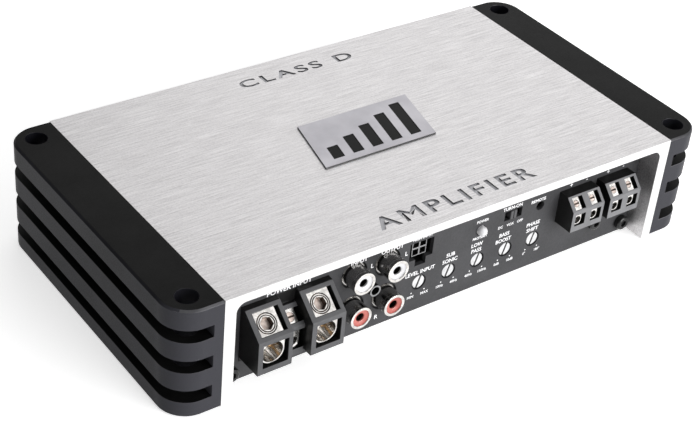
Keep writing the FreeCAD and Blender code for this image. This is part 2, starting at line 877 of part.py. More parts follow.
def lean(item, kind, at):
    # turns +Z to the slanted face's outward normal
    item.Placement.Rotation = FreeCAD.Rotation(V(1, 0, 0), number(f"{kind}Slant"))
    item.setExpression("Placement.Rotation.Angle", cell(f"{kind}Slant"))
    move(item, at)
    return item


def clampScrew(label, kind, prefix, x, width, slotted):
    length = f"{prefix}ScrewLength"
    solid = rod(label + "Thread", f"{prefix}ScrewRadius", length, ("0", "0", f"-{length}"))
    if slotted:
        low = (f"-{prefix}ScrewRadius - overrun", "-slotWidth / 2", "-slotDepth")
        high = (f"{prefix}ScrewRadius + overrun", "slotWidth / 2", "overrun")
        tool = blockBetween(label + "Slot", low, high)
    else:
        tool = hexPrism(label + "Socket", "powerScrewSocket", "powerScrewSink + overrun",
                        ("0", "0", "-powerScrewSink"))
    seat = slantPoint(kind, f"{prefix}ScrewSeat", f"-{prefix}Skin")
    return lean(cut(label, solid, [tool]), kind, (f"{x} + ({width}) / 2",) + seat)


def powerClamps():
    back = "powerCavityBack"
    for pole, side in ((0, "left"), (1, "right")):
        x = f"({powerX(pole)} + powerWindowInset - powerTuck)"
        width = "powerClampWidth"
        metal, thread = clampBody(f"PowerClamp{pole}", "power", "power", x, width, back)
        floor = f"-({panelFront} + powerReach - powerSkin - powerBoreDepth + powerDrillLap)"
        tip = cone(f"PowerDrillTip{pole}", "powerBore", "powerDrillFlat", "powerDrillTip",
                   (f"{x} + {width} / 2", floor, "powerBoreZ"), "Y")
        keep(cut(f"PowerClampDrilled{pole}", metal, [thread, tip]), f"power_clamp_{side}")
        screw = clampScrew(f"PowerScrew{pole}", "power", "power", x, width, False)
        keep(screw, f"power_screw_{side}")
    x = f"({remoteX()} + remoteWindowInset - remoteTuck)"
    width = "remoteClampWidth"
    metal, thread = clampBody("RemoteClamp", "remote", "remote", x, width, back)
    keep(cut("RemoteClampDrilled", metal, [thread]), "remote_clamp")
    keep(clampScrew("RemoteScrew", "remote", "remote", x, width, True), "remote_screw")


def speakerHousing(label, x, tapped):
    owner = makeBody(label)
    windows = [f"({x} + poleInset + {pole} * polePitch)" for pole in range(2)]
    neck = sketchOn(owner, "YZ", x)
    addRect(neck, f"-{panelFront}", "speakerBottom", "-terminalBack", "speakerTop")
    pad(owner, neck, "speakerWidth")
    rear = sketchOn(owner, "YZ", x)
    addRect(rear, f"-{panelBack}", boardTop, "-terminalBack", "terminalRearTop")
    pad(owner, rear, "speakerWidth")
    terminalPole(owner, "speaker", "pole", x, "speakerWidth", windows, "poleWindow", "poleCavityBack")
    if tapped:
        hole = sketchOn(owner, "XZ", panelBack)
        addCircle(hole, "middleScrewX", "middleScrewZ", "smallHole")
        pocket(owner, hole, "panLength - panelThickness + fitGap")


def speakerTerminals():
    clamps = []
    for block, label in ((0, "speaker_housing_left"), (1, "speaker_housing_right")):
        x = f"(speakerLeft + {block} * speakerPitch)"
        speakerHousing(label, x, block == 1)
        for pole in range(2):
            clampX = f"({x} + poleInset + {pole} * polePitch - poleTuck)"
            width = "poleClampWidth"
            index = 2 * block + pole + 1
            metal, thread = clampBody(f"PoleClamp{index}", "speaker", "pole", clampX, width, "poleCavityBack")
            clamps.append(cut(f"PoleClampDrilled{index}", metal, [thread]))
            screw = clampScrew(f"PoleScrew{index}", "speaker", "pole", clampX, width, True)
            keep(screw, f"speaker_screw_{index}")
    group("speaker_clamps", clamps)


# ---- sockets, switch, LED and trimmers ----

def rcaInsulator(name, spot, start, seat):
    # plastic core of a jack, drilled for the plug's pin
    x, z = spot
    core = rod(name + "Core", "rcaRadius - rcaWall - tubePlay", f"({seat}) - ({start})", (x, start, z), "Y")
    bore = rod(name + "Bore", "rcaPinHole", f"({seat}) - ({start}) - insertFloor", (x, start, z), "Y")
    return cut(name, core, [bore])


def rcaSleeve(name, spot, start, seat):
    # spring contact around the plug's pin, open at the front
    x, z = spot
    length = f"({seat}) - ({start}) - insertFloor"
    solid = rod(name + "Solid", "rcaContact", length, (x, start, z), "Y")
    hole = rod(name + "Hole", "rcaContactHole", f"{length} - insertFloor", (x, start, z), "Y")
    return cut(name, solid, [hole])


def rcaJacks():
    spots = [(x, z) for x in ("-jackLeftX", "-jackRightX") for z in ("jackLowZ", "jackHighZ")]
    seat = f"-({panelBack} - rcaSeat)"
    collar = f"-({panelFront} - collarSink)"
    start = f"-({panelFront} + rcaReach)"
    inFront = f"{start} + insertSink"
    bossStart = ("-(jackLeftX + jackRightX) / 2", f"-({panelFront} + bossReach)",
                 "(jackLowZ + jackHighZ) / 2")
    rear = blockBetween("RcaRear", ("-(jackLeftX + rcaBlockSide)", f"-{panelBack}", boardTop),
                        ("-(jackRightX - rcaBlockSide)", "-frontPartBack", "rcaBlockTop"))
    solids = [rear, rod("RcaBoss", "bossRadius", "bossReach + panelThickness + overrun", bossStart, "Y")]
    holes = [rod("RcaBossHole", "bossHole", "bossDepth", bossStart, "Y")]
    shells = []
    contacts = []
    inserts = {"jackHighZ": [], "jackLowZ": []}
    for i, (x, z) in enumerate(spots):
        depth = f"({seat}) - ({collar}) + overrun"
        collarLength = f"-{panelBack} - ({collar}) + overrun"
        solids.append(rod(f"RcaCollar{i}", "rcaCollar", collarLength, (x, collar, z), "Y"))
        holes.append(rod(f"RcaSeat{i}", "rcaShellSeat + tubePlay", depth, (x, f"{collar} - overrun", z), "Y"))
        length = f"({seat}) - ({start})"
        tube = [
            rod(f"RcaTube{i}", "rcaRadius", length, (x, start, z), "Y"),
            rod(f"RcaTubeSeat{i}", "rcaShellSeat", f"({seat}) - ({collar})", (x, collar, z), "Y"),
        ]
        inner = rod(f"RcaTubeHole{i}", "rcaRadius - rcaWall", f"{length} + 2 * overrun",
                    (x, f"{start} - overrun", z), "Y")
        shells.append(cut(f"RcaShell{i}", fuse(f"RcaTubeSolid{i}", tube), [inner]))
        inserts[z].append(rcaInsulator(f"RcaInsert{i}", (x, z), inFront, seat))
        contacts.append(rcaSleeve(f"RcaContact{i}", (x, z), f"{start} + insertSink + contactSink", seat))
    keep(cut("RcaBlock", fuse("RcaSolid", solids), holes), "rca_block")
    group("rca_shells", shells)
    group("rca_inserts_white", inserts["jackHighZ"])
    group("rca_inserts_red", inserts["jackLowZ"])
    group("rca_contacts", contacts)


def inputSocket():
    owner = makeBody("input_socket")
    shape = sketchOn(owner, "XZ", panelBack)
    addRect(shape, "-(socketX + socketHalf + socketWall)", "notchLow - socketWall",
            "-(socketX - socketHalf - socketWall)", "socketHigh + socketWall")
    pad(owner, shape, f"{panelBack} - frontPartBack", reverse=True)
    opening = sketchOn(owner, "XZ", panelBack)
    addLoop(opening, socketOutline())
    pocket(owner, opening, "socketDepth")
    island = sketchOn(owner, "XZ", f"{panelBack} - socketDepth")
    addRect(island, "-(socketX + islandHalf)", "islandZ - islandHalf",
            "-(socketX - islandHalf)", "islandZ + islandHalf")
    pad(owner, island, "socketDepth + panelThickness - islandRecess")
    cells = sketchOn(owner, "XZ", f"{panelFront} - islandRecess")
    spots = [(f"(-socketX {dx} cellPitch / 2)", f"(islandZ {dz} cellPitch / 2)")
             for dx in "+-" for dz in "+-"]
    floor = f"-({panelFront} - islandRecess - cellDepth)"
    pins = []
    for x, z in spots:
        addRect(cells, f"{x} - cellSide / 2", f"{z} - cellSide / 2",
                f"{x} + cellSide / 2", f"{z} + cellSide / 2")
        low = (f"{x} - pinSide / 2", f"{floor} - pinLength", f"{z} - pinSide / 2")
        high = (f"{x} + pinSide / 2", floor, f"{z} + pinSide / 2")
        pins.append(blockBetween(f"SocketPin{len(pins)}", low, high))
    pocket(owner, cells, "cellDepth")
    group("socket_pins", pins)


def slideSwitch():
    front = f"-({panelBack} - fitGap)"
    low = ("switchX - switchHalfWidth - switchWall", front, "switchZ - switchHalfHeight - switchWall")
    high = ("switchX + switchHalfWidth + switchWall", "-frontPartBack",
            "switchZ + switchHalfHeight + switchWall")
    shape = blockBetween("SwitchShape", low, high)
    low = ("switchX - switchHalfWidth", f"-({panelBack} + overrun)", "switchZ - switchHalfHeight")
    high = ("switchX + switchHalfWidth", f"-({panelBack} - switchDepth)", "switchZ + switchHalfHeight")
    well = blockBetween("SwitchWell", low, high)
    keep(cut("SwitchBody", shape, [well]), "switch_body")
    tip = f"-({panelFront} + leverReach)"
    low = ("switchX - leverWidth / 2", tip, "switchZ - leverHeight / 2")
    high = ("switchX + leverWidth / 2", f"-({panelBack} - switchDepth + leverPlay)",
            "switchZ + leverHeight / 2")
    stem = blockBetween("LeverStem", low, high)
    low = ("switchX - leverGroove / 2", f"{tip} - overrun", "switchZ - leverHeight")
    high = ("switchX + leverGroove / 2", f"{tip} + leverGrooveDepth", "switchZ + leverHeight")
    groove = blockBetween("LeverGroove", low, high)
    keep(cut("SwitchLever", stem, [groove]), "switch_lever")


def remoteJack():
    shape = blockBetween("JackShape", ("plugX - plugBodyHalf", f"-{panelBack}", "plugZ - plugBodyHalf"),
                         ("plugX + plugBodyHalf", "-frontPartBack", "plugZ + plugBodyHalf"))
    at = ("plugX", f"-{panelBack}", "plugZ")
    bore = rod("JackBore", "plugHole", f"{panelBack} - frontPartBack + overrun", at, "Y")
    seat = rod("JackSeat", "plugSleeve + tubePlay", "plugSleeveLength", at, "Y")
    keep(cut("JackBody", shape, [bore, seat]), "jack_body")
    sleeve = rod("JackSleeve", "plugSleeve", "plugSleeveLength", at, "Y")
    hole = rod("JackSleeveHole", "plugHole", "plugSleeveLength", at, "Y")
    keep(cut("JackContact", sleeve, [hole]), "jack_contact")


def statusLed():
    tip = f"-({panelFront} + ledReach)"
    dome = doc.addObject("Part::Sphere", "LedDome")
    bind(dome, Radius="ledRadius")
    move(dome, ("ledX", tip, "ledZ"))
    stem = rod("LedStem", "ledRadius", f"{panelFront} + ledReach - ledBodyBack", ("ledX", tip, "ledZ"), "Y")
    seat = ("ledX", f"-({panelBack} - fitGap)", "ledZ")
    flange = rod("LedFlange", "ledFlange", "ledFlangeLength", seat, "Y")
    solids = [dome, stem, flange]
    for way in "-+":
        x = f"(ledX {way} ledLeadPitch / 2)"
        low = (f"{x} - ledLead / 2", "-ledBodyBack - ledLeadLap", "ledZ - ledLead / 2")
        high = (f"{x} + ledLead / 2", "-frontPartBack", "ledZ + ledLead / 2")
        solids.append(blockBetween(f"LedLead{len(solids)}", low, high))
    keep(fuse("StatusLed", solids), "status_led")


def trimmerRotor(k, x):
    # screwdriver-slotted shaft with a thinner journal that turns in the trimmer's body
    face = f"-({panelFront} + trimmerReach)"
    shaft = rod(f"TrimmerShaft{k}", "trimmerRadius",
                f"{panelFront} + trimmerReach - trimmerBodyFront - trimmerPlay", (x, face, "trimmerZ"), "Y")
    journal = rod(f"TrimmerJournal{k}", "trimmerJournal", "trimmerJournalLength + trimmerJournalLap",
                  (x, "-trimmerBodyFront - trimmerJournalLap", "trimmerZ"), "Y")
    slot = blockBetween(f"TrimmerSlot{k}", ("-trimmerSlotWidth / 2", "-overrun", "-2 * trimmerRadius"),
                        ("trimmerSlotWidth / 2", "trimmerSlotDepth", "2 * trimmerRadius"))
    leaning = doc.addObject("Part::Compound", f"TrimmerSlotTurned{k}")
    leaning.Links = [slot]
    leaning.Placement.Rotation = FreeCAD.Rotation(V(0, 1, 0), sizes["trimmerLean"])
    bind(leaning, **{"Placement.Rotation.Angle": "trimmerLean"})
    move(leaning, (x, face, "trimmerZ"))
    return cut(f"TrimmerRotor{k}", fuse(f"TrimmerSolid{k}", [shaft, journal]), [leaning])


def trimmers():
    bodies = []
    for k, name in enumerate(trimmerNames):
        x = f"(trimmerFirstX + {k} * trimmerPitch)"
        low = (f"{x} - trimmerHalf", "-trimmerBodyFront", "trimmerZ - trimmerHalf")
        high = (f"{x} + trimmerHalf", "-frontPartBack", "trimmerZ + trimmerHalf")
        can = blockBetween(f"TrimmerCan{k}", low, high)
        bearing = rod(f"TrimmerBearing{k}", "trimmerBearing", "trimmerJournalLength + trimmerPlay",
                      (x, "-trimmerBodyFront", "trimmerZ"), "Y")
        bodies.append(cut(f"TrimmerBody{k}", can, [bearing]))
        keep(trimmerRotor(k, x), f"{name}_trimmer")
    group("trimmer_bodies", bodies)


# ---- boards and what they carry ----

def mainBoard():
    spots = [(x, y) for x in ("-boardScrewX", "boardScrewX") for y in ("-boardScrewY", "boardScrewY")]
    owner = makeBody("main_board")
    plan = sketchOn(owner, "XY", "boardLow")
    addRect(plan, "-boardHalfLength", "-boardHalfDepth", "boardHalfLength", "boardHalfDepth")
    for x, y in spots:
        addCircle(plan, x, y, "clearHole")
    pad(owner, plan, "boardThickness")
    posts = []
    screws = []
    postHeight = "boardLow - plateThickness"
    screwLength = f"boardThickness + {postHeight} - fitGap"
    for i, (x, y) in enumerate(spots):
        post = rod(f"Post{i}", "standoffRadius", postHeight, (x, y, "plateThickness"))
        hole = rod(f"PostHole{i}", "smallHole", postHeight, (x, y, "plateThickness"))
        posts.append(cut(f"Standoff{i}", post, [hole]))
        screws.append(panScrew(f"BoardScrew{i}", screwLength, (x, y, boardTop), "-Z"))
    group("board_standoffs", posts)
    group("board_screws", screws)


def controlBoard():
    # upright board behind the panel's controls, with the pin strip that joins it to the main board
    behind = "-(frontPartBack - boardThickness)"
    board = blockBetween("ControlBoard", ("controlLeft", "-frontPartBack", boardTop),
                         ("controlRight", behind, "controlTop"))
    keep(board, "control_board")
    solids = [blockBetween("HeaderStrip", ("headerLeft", behind, boardTop),
                           (f"headerLeft + {headerPins} * headerPitch", f"{behind} + headerHeight",
                            f"{boardTop} + headerHeight"))]
    pinFront = f"{behind} + headerPinSink"
    for k in range(headerPins):
        x = f"(headerLeft + ({k} + 0.5) * headerPitch)"
        low = (f"{x} - headerPin / 2", pinFront, f"{boardTop} + headerPinSink")
        high = (f"{x} + headerPin / 2", f"{pinFront} + headerPin", f"{boardTop} + headerPinTop")
        solids.append(blockBetween(f"HeaderPin{k}", low, high))
    keep(fuse("BoardHeader", solids), "board_header")


def woundRing(kind, turnCount):
    # a ferrite ring lying flat, wound with separate rectangular turns of flat copper
    outer, inner, thick = f"{kind}Outer", f"{kind}Inner", f"{kind}Thick"
    at = (f"{kind}X", "ringY", f"{boardTop} + ringLift")
    ring = rod(kind + "Ring", outer, thick, at)
    eye = rod(kind + "Eye", inner, thick, at)
    keep(cut(kind + "Core", ring, [eye]), kind + "_core")
    owner = makeBody(kind + "_winding")
    turn = sketchOn(owner, "XZ")
    reach = "(turnGap + turnThick)"
    addRect(turn, f"{inner} - {reach}", f"-{reach}", f"{outer} + {reach}", f"{thick} + {reach}")
    addRect(turn, f"{inner} - turnGap", "-turnGap", f"{outer} + turnGap", f"{thick} + turnGap")
    first = pad(owner, turn, "turnWidth", middle=True)
    pattern = owner.newObject("PartDesign::PolarPattern", kind + "Turns")
    pattern.Originals = [first]
    pattern.Axis = (turn, ["V_Axis"])
    pattern.Angle = 360
    pattern.Occurrences = turnCount
    owner.Tip = pattern
    move(owner, at)


def capacitors(label, kind, count):
    # a row of cans standing on the main board, each with a pressure vent scored across its top
    cans = []
    top = f"{boardTop} + capHeight"
    reach = f"{kind}Radius * ventShare"
    for k in range(count):
        y = f"(({k} - {(count - 1) / 2}) * {kind}Pitch + ringY)"
        can = rod(f"{kind}Can{k}", f"{kind}Radius", "capHeight", (f"{kind}X", y, boardTop))
        low = (f"{kind}X - capVent / 2", f"{y} - {reach}", f"{top} - capVent")
        high = (f"{kind}X + capVent / 2", f"{y} + {reach}", f"{top} + overrun")
        vent = blockBetween(f"{kind}Vent{k}", low, high)
        cans.append(cut(f"{kind}Piece{k}", can, [vent]))
    group(label, cans)


def sideBlock(name, side, x, y, z):
    # a block whose X span is given outward from the middle of the case, on either side of it
    if side == "-":
        x = [f"-({end})" for end in reversed(x)]
    return blockBetween(name, (x[0], y[0], z[0]), (x[1], y[1], z[1]))


def powerTransistor(name, side, y):
    inner = f"{packageBack} - packageThickness"
    body = (f"{y} - packageWidth / 2", f"{y} + packageWidth / 2")
    rest = "railTop + legRest"
    restTop = f"{rest} + legThickness"
    parts = [
        sideBlock(name + "Package", side, (inner, packageBack), body, ("packageLow", "packageTop")),
        sideBlock(name + "Tab", side, (f"{packageBack} - tabThickness", packageBack), body,
                  ("packageLow", "tabTop")),
    ]
    for j in range(3):
        legY = f"{y} + ({j} - 1) * legPitch"
        span = (f"{legY} - legWidth / 2", f"{legY} + legWidth / 2")
        foot = f"{inner} - legStep"
        parts.append(sideBlock(f"{name}LegTop{j}", side, (inner, f"{inner} + legThickness"), span,
                               (rest, "packageLow + legLap")))
        parts.append(sideBlock(f"{name}LegStep{j}", side, (foot, f"{inner} + legThickness"), span,
                               (rest, restTop)))
        parts.append(sideBlock(f"{name}LegFoot{j}", side, (foot, f"{foot} + legThickness"), span,
                               (boardTop, restTop)))
    return fuse(name, parts)


def powerStage():
    # on each side wall: an insulating pad, four transistors and the bar that presses them on
    transistors = []
    pads = []
    bars = []
    screws = []
    spots = ("-transistorPitch", "0", "transistorPitch")
    height = "(clampLow + clampHigh) / 2"
    inner = f"{packageBack} - packageThickness"
    length = "clampThickness + packageThickness + padThickness + clampScrewDepth"
    for side, axis in (("", "X"), ("-", "-X")):
        sheet = sideBlock(f"PadSheet{axis}", side, (packageBack, insideHalf),
                          ("-padHalfDepth", "padHalfDepth"), ("padLow", "padHigh"))
        holes = [rod(f"PadHole{axis}{i}", "clearHole", "4 * padThickness",
                     (f"{side}({packageBack} - padThickness)", y, height), axis) for i, y in enumerate(spots)]
        pads.append(cut(f"Pad{axis}", sheet, holes))
        for k in range(4):
            y = f"({k} - 1.5) * transistorPitch"
            transistors.append(powerTransistor(f"Transistor{axis}{k}", side, y))
        bar = sideBlock(f"ClampBar{axis}", side, (f"{inner} - clampThickness", inner),
                        ("-clampHalfDepth", "clampHalfDepth"), ("clampLow", "clampHigh"))
        barHoles = [rod(f"BarHole{axis}{i}", "clearHole", "clampThickness + 2 * overrun",
                        (f"{side}({inner} - clampThickness - overrun)", y, height), axis)
                    for i, y in enumerate(spots)]
        bars.append(cut(f"Clamp{axis}", bar, barHoles))
        for i, y in enumerate(spots):
            at = (f"{side}({inner} - clampThickness)", y, height)
            screws.append(panScrew(f"ClampScrew{axis}{i}", length, at, axis))
    group("power_transistors", transistors)
    group("insulating_pads", pads)
    group("transistor_clamps", bars)
    group("clamp_screws", screws)


def controlChips():
    chips = []
    for k in range(chipCount):
        y = f"(({k} - {(chipCount - 1) / 2}) * chipPitch)"
        shape = blockBetween(f"ChipBody{k}", ("chipX - chipWidth / 2", f"{y} - chipLength / 2", boardTop),
                             ("chipX + chipWidth / 2", f"{y} + chipLength / 2", f"{boardTop} + chipHeight"))
        notch = rod(f"ChipNotch{k}", "chipWidth / 8", "overrun",
                    ("chipX", f"{y} - chipLength / 2", f"{boardTop} + chipHeight - chipNotchDepth"))
        chips.append(cut(f"Chip{k}", shape, [notch]))
    group("control_chips", chips)


heatsinkShell()
finBlock("fin_block_left", "-", False)
finBlock("fin_block_right", "", True)
bottomPlate()
frontPanel()
rearPanel()
badge()
caseScrews()
powerHousing()
powerClamps()
speakerTerminals()
rcaJacks()
inputSocket()
slideSwitch()
remoteJack()
statusLed()
trimmers()
mainBoard()
controlBoard()
woundRing("transformer", 18)
woundRing("inductor", 14)
capacitors("supply_capacitors", "supplyCap", 3)
capacitors("rail_capacitors", "railCap", 4)
powerStage()
controlChips()
doc.recompute()

# every object has to be sound before anything is written
for item in doc.Objects:
    if "Invalid" in item.State or "Error" in item.State:
        raise RuntimeError(f"{item.Name} ({item.Label}) failed: {item.State}")
    if item.TypeId == "PartDesign::Pocket" and near(item.Shape.Volume, item.BaseFeature.Shape.Volume):
        raise RuntimeError(f"{item.Name} removes nothing")
for label, item in nodes.items():
    if item.Shape.isNull() or not item.Shape.isValid():
        raise RuntimeError(f"{label} has no sound shape")

os.makedirs("parts", exist_ok=True)
for label, item in nodes.items():
    item.Shape.exportStep(f"parts/{label}.step")
print(len(nodes), "nodes written")
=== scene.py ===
import math

import bmesh
import bpy
from mathutils import Matrix, Vector


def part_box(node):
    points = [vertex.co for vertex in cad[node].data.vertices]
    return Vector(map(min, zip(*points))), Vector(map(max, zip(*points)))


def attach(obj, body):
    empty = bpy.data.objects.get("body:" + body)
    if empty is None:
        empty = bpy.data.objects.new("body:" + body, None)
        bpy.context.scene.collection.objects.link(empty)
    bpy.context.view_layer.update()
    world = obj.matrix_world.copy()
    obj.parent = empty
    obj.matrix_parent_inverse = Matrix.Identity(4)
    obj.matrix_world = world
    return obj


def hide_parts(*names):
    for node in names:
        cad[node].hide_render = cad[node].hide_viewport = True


# Car amplifier, dressed on its CAD frame. Lengths in the dictionaries are millimetres.

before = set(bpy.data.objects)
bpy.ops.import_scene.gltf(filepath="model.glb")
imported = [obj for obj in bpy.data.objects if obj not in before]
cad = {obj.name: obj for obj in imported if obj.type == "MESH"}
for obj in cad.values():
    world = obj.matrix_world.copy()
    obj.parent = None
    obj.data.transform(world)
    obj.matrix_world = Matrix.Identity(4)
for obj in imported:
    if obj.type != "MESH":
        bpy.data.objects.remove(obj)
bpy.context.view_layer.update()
mm = 0.001
caseBody = "case"


def corners(node):
    low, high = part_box(node)
    return Vector(low) / mm, Vector(high) / mm


def middleOf(node):
    low, high = corners(node)
    return (low + high) / 2


# studio

studio = {
    "cameraPlace": (-294.0, -360.13, 329.74),
    "cameraAim": (0.51377, 0.63689, -0.57482),
    "cameraLean": 5.75,
    "lens": 80.68,
    "worldStrength": 0.36,
    "floorHalf": 4.0,
    "floorTone": 0.93,
    "floorGlow": 0.55,
}
lamps = {
    # name: place in metres, size in metres, power in watts
    "front_softbox": ((0.45, -1.5, 0.35), 1.2, 38.0),
    "top_softbox": ((1.3, 1.15, 1.05), 1.9, 9.2),
    "terminal_softbox": ((0.8, -0.77, 0.92), 0.9, 2.1),
    "left_softbox": ((-1.6, 0.2, 0.5), 1.0, 1.1),
}


def addCamera():
    data = bpy.data.cameras.new("camera")
    data.lens = studio["lens"]
    data.sensor_width = 36.0
    data.clip_start = 0.01
    aim = Vector(studio["cameraAim"]).normalized()
    level = aim.cross(Vector((0, 0, 1))).normalized()
    turn = Matrix.Rotation(math.radians(-studio["cameraLean"]), 3, aim)
    right = turn @ level
    up = right.cross(aim)
    camera = bpy.data.objects.new("camera", data)
    view = Matrix((right, up, -aim)).transposed().to_4x4()
    view.translation = Vector(studio["cameraPlace"]) * mm
    camera.matrix_world = view
    bpy.context.scene.collection.objects.link(camera)
    bpy.context.scene.camera = camera


def addLamps():
    target = Vector((0, 0, 0.02))
    for name, (place, size, power) in lamps.items():
        data = bpy.data.lights.new(name, "AREA")
        data.shape = "SQUARE"
        data.size = size
        data.energy = power
        lamp = bpy.data.objects.new(name, data)
        lamp.location = place
        lamp.rotation_euler = (target - Vector(place)).to_track_quat("-Z", "Y").to_euler()
        bpy.context.scene.collection.objects.link(lamp)
    world = bpy.data.worlds.new("studio_air")
    world.use_nodes = True
    air = world.node_tree.nodes["Background"]
    air.inputs["Color"].default_value = (1.0, 1.0, 1.0, 1.0)
    air.inputs["Strength"].default_value = studio["worldStrength"]
    bpy.context.scene.world = world
    bpy.context.scene.view_settings.view_transform = "Standard"


# materials

materialBasics = {
    "noiseRange": (0.3, 0.7),
    "noiseDetail": 4.0,
    "noiseRoughness": 0.6,
    "coatRoughness": 0.05,
    "milkDepth": 0.001,
    # Y range in metres over which the fins' painted front light comes in
    "frontLightFade": (-0.044, -0.056),
}


def startMaterial(name):
    material = bpy.data.materials.new(name)
    material.use_nodes = True
    tree = material.node_tree
    return material, tree, tree.nodes["Principled BSDF"]


def addNode(tree, kind, **settings):
    node = tree.nodes.new(kind)
    for key, value in settings.items():
        setattr(node, key, value)
    return node


def stretchedNoise(tree, stretch):
    # noise on object coordinates, in features per metre along each axis
    place = addNode(tree, "ShaderNodeTexCoord")
    spread = addNode(tree, "ShaderNodeMapping")
    spread.inputs["Scale"].default_value = stretch
    noise = addNode(tree, "ShaderNodeTexNoise")
    noise.inputs["Scale"].default_value = 1.0
    noise.inputs["Detail"].default_value = materialBasics["noiseDetail"]
    noise.inputs["Roughness"].default_value = materialBasics["noiseRoughness"]
    tree.links.new(place.outputs["Object"], spread.inputs["Vector"])
    tree.links.new(spread.outputs["Vector"], noise.inputs["Vector"])
    return noise.outputs["Fac"]


def mixedNoise(tree, first, second, share):
    mixed = addNode(tree, "ShaderNodeMix")
    mixed.inputs[0].default_value = share
    tree.links.new(first, mixed.inputs[2])
    tree.links.new(second, mixed.inputs[3])
    return mixed.outputs[0]


def blendColors(tree, factor, dark, light, low=0.35, high=0.65):
    ramp = addNode(tree, "ShaderNodeValToRGB")
    ramp.color_ramp.elements[0].position = low
    ramp.color_ramp.elements[1].position = high
    ramp.color_ramp.elements[0].color = (*dark, 1.0)
    ramp.color_ramp.elements[1].color = (*light, 1.0)
    tree.links.new(factor, ramp.inputs["Fac"])
    return ramp.outputs["Color"]


def spreadValue(tree, factor, low, high):
    ranged = addNode(tree, "ShaderNodeMapRange")
    ranged.inputs["From Min"].default_value = materialBasics["noiseRange"][0]
    ranged.inputs["From Max"].default_value = materialBasics["noiseRange"][1]
    ranged.inputs["To Min"].default_value = low
    ranged.inputs["To Max"].default_value = high
    tree.links.new(factor, ranged.inputs["Value"])
    return ranged.outputs["Result"]


def raised(tree, shader, factor, height):
    bump = addNode(tree, "ShaderNodeBump")
    bump.inputs["Strength"].default_value = 1.0
    bump.inputs["Distance"].default_value = height
    tree.links.new(factor, bump.inputs["Height"])
    tree.links.new(bump.outputs["Normal"], shader.inputs["Normal"])


def paintedFrontLight(tree, tone, frontLitTone):
    # painted light: the base colour turns lighter towards the front, standing in for the front lamps' light
    # on the fins' front corners; places in metres along Y
    place = addNode(tree, "ShaderNodeTexCoord")
    axes = addNode(tree, "ShaderNodeSeparateXYZ")
    reach = addNode(tree, "ShaderNodeMapRange")
    reach.inputs["From Min"].default_value = materialBasics["frontLightFade"][0]
    reach.inputs["From Max"].default_value = materialBasics["frontLightFade"][1]
    mixed = addNode(tree, "ShaderNodeMix", data_type="RGBA")
    tree.links.new(place.outputs["Object"], axes.inputs["Vector"])
    tree.links.new(axes.outputs["Y"], reach.inputs["Value"])
    tree.links.new(reach.outputs["Result"], mixed.inputs["Factor"])
    tree.links.new(tone, mixed.inputs[6])
    mixed.inputs[7].default_value = (*frontLitTone, 1.0)
    return mixed.outputs[2]


def grained(name, look):
    # one finish: two tones mottled by a broad noise, gloss and bump from a fine one
    material, tree, shader = startMaterial(name)
    broad = stretchedNoise(tree, look.get("broad", (60, 60, 60)))
    fine = stretchedNoise(tree, look.get("fine", (2500, 2500, 2500)))
    if look.get("speckle"):
        fine = mixedNoise(tree, fine, stretchedNoise(tree, look["speckle"]), look["speckleShare"])
    tone = blendColors(tree, fine if look.get("streaked") else broad, look["dark"], look["light"])
    if look.get("frontLitTone"):
        tone = paintedFrontLight(tree, tone, look["frontLitTone"])
    tree.links.new(tone, shader.inputs["Base Color"])
    tree.links.new(spreadValue(tree, fine, *look["roughness"]), shader.inputs["Roughness"])
    if look.get("bump"):
        raised(tree, shader, fine, look["bump"])
    shader.inputs["Metallic"].default_value = look.get("metal", 0.0)
    shader.inputs["Specular IOR Level"].default_value = look.get("specular", 0.5)
    shader.inputs["Coat Weight"].default_value = look.get("coat", 0.0)
    shader.inputs["Coat Roughness"].default_value = materialBasics["coatRoughness"]
    shader.inputs["Subsurface Weight"].default_value = look.get("milky", 0.0)
    shader.inputs["Subsurface Radius"].default_value = (1.0, 1.0, 1.0)
    shader.inputs["Subsurface Scale"].default_value = materialBasics["milkDepth"]
    return material


